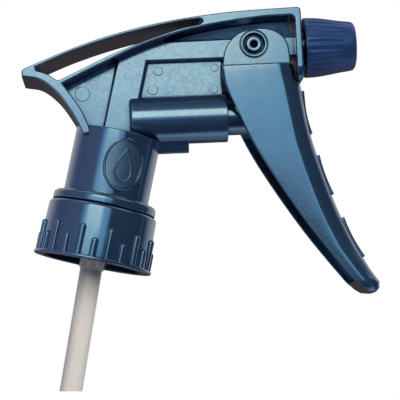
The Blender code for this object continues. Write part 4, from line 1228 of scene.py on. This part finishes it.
def ellipse_share(nodes, heading):
    """1 inside the emblem's oval on the neck at that heading, 0 outside."""
    place = nodes.add("ShaderNodeTexCoord")
    shift = nodes.add("ShaderNodeMapping", vector_type="TEXTURE")
    shift.inputs["Location"].default_value = NECK.translation + Vector((0, 0, EMBLEM_HEIGHT))
    shift.inputs["Rotation"].default_value = (0, 0, math.radians(heading))
    shift.inputs["Scale"].default_value = (1, EMBLEM_HALF_WIDTH, EMBLEM_HALF_HEIGHT)
    nodes.feed(shift.inputs["Vector"], place.outputs["Object"])
    split = nodes.add("ShaderNodeSeparateXYZ")
    nodes.feed(split.inputs["Vector"], shift.outputs["Vector"])
    flat = nodes.add("ShaderNodeCombineXYZ")
    for axis in "YZ":
        nodes.feed(flat.inputs[axis], split.outputs[axis])
    reach = nodes.add("ShaderNodeVectorMath", operation="LENGTH")
    nodes.feed(reach.inputs[0], flat.outputs["Vector"])
    return nodes.ramp(reach.outputs["Value"], 0.95, 0.85)


def pearl_blue(name="pearl_blue", emblem=False):
    """Glossy blue plastic with a metallic pearl, violet at grazing angles, with painted shade in its
    crevices, where its colour darkens and its coat thins.
    """
    nodes = Finish(name)
    facing = nodes.add("ShaderNodeLayerWeight")
    nodes.feed(facing.inputs["Blend"], 0.35)
    cloud = nodes.spread(nodes.noise(55.0, 3.0))
    colour = nodes.blend(facing.outputs["Facing"], nodes.blend(cloud, *PEARL_FACE), PEARL_GRAZING)
    # Painted shade: ambient occlusion darkens the colour and thins the coat in crevices and recesses
    painted_shade_ao = nodes.add("ShaderNodeAmbientOcclusion", samples=6)
    nodes.feed(painted_shade_ao.inputs["Distance"], 3 * MM)
    unshaded_share = nodes.ramp(painted_shade_ao.outputs["AO"], 0.25, 0.75, 0.12)
    rough = nodes.spread(nodes.noise(900.0), 0.10, 0.2)
    coat_rough = 0.06
    if emblem:
        inside = ellipse_share(nodes, EMBLEM_HEADINGS[0])
        rough = nodes.calculate("MULTIPLY_ADD", inside, EMBLEM_STIPPLE, rough)
        coat_rough = rough
    rounded = nodes.rounded(0.22 * MM)
    waves = nodes.bump(nodes.noise(70.0), 0.05 * MM, rounded)
    # The painted shade goes into the base colour and the coat weight here
    nodes.set(
        base_color=nodes.blend(unshaded_share, PEARL_PAINTED_SHADE, colour), metallic=0.9, roughness=rough,
        coat_weight=nodes.calculate("MULTIPLY", unshaded_share, 0.7), coat_roughness=coat_rough,
        normal=nodes.bump(nodes.noise(6000.0, 1.0), 0.0012 * MM, waves), coat_normal=rounded,
    )
    return nodes.made


def navy_plastic():
    """The nozzle's plain navy plastic, with less pearl and a softer shine."""
    nodes = Finish("navy_plastic")
    nodes.set(
        base_color=nodes.blend(nodes.spread(nodes.noise(120.0, 3.0)), *NAVY), metallic=0.55,
        roughness=nodes.spread(nodes.noise(900.0), 0.33, 0.42), coat_weight=0.1, coat_roughness=0.25,
        normal=nodes.bump(nodes.noise(6000.0, 1.0), 0.0015 * MM, nodes.rounded(0.15 * MM)),
    )
    return nodes.made


def milky(name, base, clear, rough):
    """Natural polypropylene: milky, lightly see-through, with faint flow streaks along its length."""
    nodes = Finish(name)
    streaks = nodes.spread(nodes.noise(900.0, 3.0, (1, 1, 0.03)))
    darker = tuple(0.93 * value for value in base)
    nodes.set(
        base_color=nodes.blend(streaks, base, darker), transmission_weight=clear,
        roughness=nodes.spread(nodes.noise(1500.0), rough - 0.05, rough + 0.08), coat_weight=0.25,
        normal=nodes.bump(streaks, 0.006 * MM), subsurface_weight=0.35, subsurface_scale=2 * MM,
    )
    nodes.feed(nodes.shader.inputs["IOR"], 1.45)
    return nodes.made


def rubber(name, base, rough):
    nodes = Finish(name)
    grain = nodes.noise(4000.0, 3.0)
    lighter = tuple(1.3 * value for value in base)
    nodes.set(
        base_color=nodes.blend(nodes.spread(grain), base, lighter), normal=nodes.bump(grain, 0.01 * MM),
        roughness=nodes.spread(nodes.noise(800.0), rough - 0.08, rough + 0.08),
    )
    return nodes.made


def steel(name, rough):
    nodes = Finish(name)
    scratches = nodes.noise(2500.0, 4.0, (1, 0.2, 1))
    nodes.set(
        base_color=nodes.blend(nodes.spread(scratches), *STEEL), metallic=1.0,
        roughness=nodes.spread(scratches, rough, rough + 0.1), normal=nodes.bump(scratches, 0.003 * MM),
    )
    return nodes.made


# ---------------------------------------------------------------- studio

# What reflections see of the room round the sprayer
LEFT_WALL = (0.22, 0.19, 0.29)
RIGHT_WALL = (0.02, 0.028, 0.065)
DARK_FLOOR = (0.025, 0.032, 0.075)
SIDE_FLOOR = (0.6, 0.62, 0.66)
CEILING = (0.045, 0.055, 0.1)
SIDE_CEILING = (0.8, 0.82, 0.88)
DIM_WALL = (0.68, 0.8, 0.96)
LIT_WALL = (0.66, 0.68, 0.79)
LOW_WALL = (0.07, 0.09, 0.14)
PANEL_RIM = (0.5, 0.78, 1.0)
PANEL_LEFT = (3.1, 2.4, 1.75)
PANEL_MIDDLE = (2.6, 1.95, 1.4)
PANEL_RIGHT = (0.72, 0.94, 1.04)
BACKDROP = (0.62, 0.6, 0.62)
DARK_BACK = (0.06, 0.05, 0.055)
BACK_FLOOR = (0.09, 0.09, 0.1)
BACK_SIDE_FLOOR = (0.34, 0.36, 0.4)

FLOOR_DROP = 0.12  # how far the floor lies below the sprayer
LAMP_OFFSET = (0.3, -0.8, 0.5)  # from the middle of the sprayer
LAMP_SIZE = (0.7, 0.7)
LAMP_POWER = 9

# The camera, from the closure's rim centre
VIEW_ROLL = math.radians(11.3)
VIEW_TURN = 0.046  # how far +Y runs to the left of the line of sight
VIEW_RISE = 0.113  # how far +Y runs below it
VIEW_LENS = 146.3
RIM_SEEN = Vector((-0.03084, -0.0183, -0.46498))  # that centre as the camera sees it


def studio_light():
    """A white backdrop for the camera. Reflections see a dark room with a large soft panel behind the camera,
    a bluish wall below the panel, a pale floor at the sides and a grey backdrop."""
    world = bpy.data.worlds.new("studio")
    bpy.context.scene.world = world
    world.use_nodes = True
    nodes = Graph(world.node_tree)
    nodes.tree.nodes.clear()
    calculate = nodes.calculate
    blend = nodes.blend

    def ramp(value, low, high):
        """0 below low, 1 above high, smooth between."""
        return nodes.ramp(value, low, high, kind="SMOOTHSTEP")

    def between(value, low, high, soft_low, soft_high):
        """1 between low and high, fading to 0 over the given spans outside them."""
        falling = calculate("SUBTRACT", 1.0, ramp(value, high, high + soft_high))
        return calculate("MULTIPLY", ramp(value, low - soft_low, low), falling)

    def patch(turns, heights):
        """A soft-edged rectangle of the room."""
        return calculate("MULTIPLY", between(turn, *turns), between(height, *heights))

    # heights and turns in degrees, seen from the sprayer: 0 turn is toward the camera, positive to the right
    place = nodes.add("ShaderNodeTexCoord")
    split = nodes.add("ShaderNodeSeparateXYZ")
    nodes.feed(split.inputs["Vector"], place.outputs["Generated"])
    x, y, z = split.outputs
    height = calculate("MULTIPLY", calculate("ARCSINE", z), math.degrees(1))
    turn = calculate("MULTIPLY", calculate("ARCTAN2", x, calculate("MULTIPLY", y, -1.0)), math.degrees(1))
    away = calculate("ABSOLUTE", turn)

    aside = ramp(away, 35, 75)
    room = blend(ramp(turn, -25, 25), LEFT_WALL, RIGHT_WALL)
    room = blend(ramp(height, -40, -8), blend(aside, DARK_FLOOR, SIDE_FLOOR), room)
    room = blend(ramp(height, 45, 75), room, CEILING)
    room = blend(calculate("MULTIPLY", aside, ramp(height, 40, 60)), room, SIDE_CEILING)
    lit_wall = blend(ramp(height, 3.5, 7.5), LOW_WALL, LIT_WALL)
    room = blend(patch((-30, 13, 14, 5), (0.5, 12, 6, 4)), room, blend(ramp(turn, -4, 5), DIM_WALL, lit_wall))
    room = blend(patch((-32, 14, 10, 5), (8.2, 14, 1.5, 6)), room, PANEL_RIM)
    whole_panel = patch((-26, 12, 8, 5), (10.4, 33, 0.7, 9))
    left_panel = patch((-26, 0.5, 8, 2), (9.5, 33, 0.6, 9))
    panel_right = blend(ramp(turn, 2.4, 3.8), PANEL_MIDDLE, PANEL_RIGHT)
    panel = blend(ramp(turn, -2, 2), PANEL_LEFT, panel_right)
    room = blend(calculate("MAXIMUM", whole_panel, left_panel), room, panel)
    backdrop = blend(ramp(height, -4, 1.5), DARK_BACK, BACKDROP)
    backdrop = blend(ramp(away, 158, 170), backdrop, DARK_BACK)
    back_floor = blend(ramp(away, 150, 166), BACK_SIDE_FLOOR, BACK_FLOOR)
    backdrop = blend(between(height, -70, -18, 15, 6), backdrop, back_floor)
    backdrop = blend(ramp(height, 45, 70), backdrop, SIDE_CEILING)
    room = blend(ramp(away, 100, 135), room, backdrop)

    rays = nodes.add("ShaderNodeLightPath")
    light = nodes.add("ShaderNodeBackground")
    out = nodes.add("ShaderNodeOutputWorld")
    nodes.feed(light.inputs["Color"], blend(rays.outputs["Is Camera Ray"], room, (1.0, 1.0, 1.0)))
    nodes.feed(out.inputs["Surface"], light.outputs["Background"])


def soft_lamp(name, place, target, size, power):
    data = bpy.data.lights.new(name, "AREA")
    data.shape = "RECTANGLE"
    data.size, data.size_y = size
    data.energy = power
    lamp = bpy.data.objects.new(name, data)
    lamp.location = place
    aim = Vector(target) - Vector(place)
    lamp.rotation_euler = aim.to_track_quat("-Z", "Y").to_euler()
    bpy.context.scene.collection.objects.link(lamp)
    lamp.visible_glossy = False


def make_floor():
    """A plain pale floor well below the hanging sprayer, as bright as the backdrop."""
    mesh = bmesh.new()
    bmesh.ops.create_grid(mesh, x_segments=1, y_segments=1, size=6)
    data = bpy.data.meshes.new("floor")
    mesh.to_mesh(data)
    mesh.free()
    finish = Finish("pale_floor")
    finish.set(base_color=(0.9, 0.9, 0.9), roughness=0.9, emission_color=(1, 1, 1), emission_strength=0.85)
    data.materials.append(finish.made)
    floor = bpy.data.objects.new("floor", data)
    floor.location.z = CAD_BOX[0].z - FLOOR_DROP
    floor.visible_glossy = False
    floor.visible_diffuse = False
    bpy.context.scene.collection.objects.link(floor)


def make_camera():
    """A long lens on the -Y side, a little below the sprayer, rolled so that the neck leans to the right."""
    ahead = Vector((-VIEW_TURN, -VIEW_RISE, -1)).normalized()
    up = Vector((math.sin(VIEW_ROLL), math.cos(VIEW_ROLL), 0))
    up.z = -(up.x * ahead.x + up.y * ahead.y) / ahead.z
    up.normalize()
    right = ahead.cross(up)
    to_camera = Matrix((right, ahead, up))
    data = bpy.data.cameras.new("camera")
    data.sensor_width = 36
    data.lens = VIEW_LENS
    data.clip_start = 0.01
    data.clip_end = 50
    camera = bpy.data.objects.new("camera", data)
    camera.matrix_world = NECK @ Matrix.Translation(-(to_camera @ RIM_SEEN)) @ to_camera.to_4x4()
    bpy.context.scene.collection.objects.link(camera)
    bpy.context.scene.camera = camera


def main():
    blue = pearl_blue()
    marked_blue = pearl_blue("pearl_blue_marked", emblem=True)
    navy = navy_plastic()
    clear = milky("natural_plastic", (0.80, 0.82, 0.84), 0.55, 0.3)
    tube = milky("tube_plastic", (0.79, 0.76, 0.70), 0.05, 0.32)
    black = rubber("seal_rubber", (0.03, 0.03, 0.032), 0.55)
    foam = rubber("gasket_foam", (0.72, 0.72, 0.70), 0.75)
    wire = steel("spring_steel", 0.22)
    polished = steel("ball_steel", 0.08)
    make_body(marked_blue)
    make_closure(blue)
    make_inlet(clear, tube, foam, polished)
    make_pump(blue, black, wire)
    make_trigger(blue)
    make_pins(blue)
    make_outlet(navy, clear, black, wire, polished)
    make_floor()
    make_camera()
    studio_light()
    centre = (CAD_BOX[0] + CAD_BOX[1]) / 2
    soft_lamp("fill_lamp", centre + Vector(LAMP_OFFSET), centre, LAMP_SIZE, LAMP_POWER)
    bpy.context.scene.view_settings.view_transform = "Standard"


main()
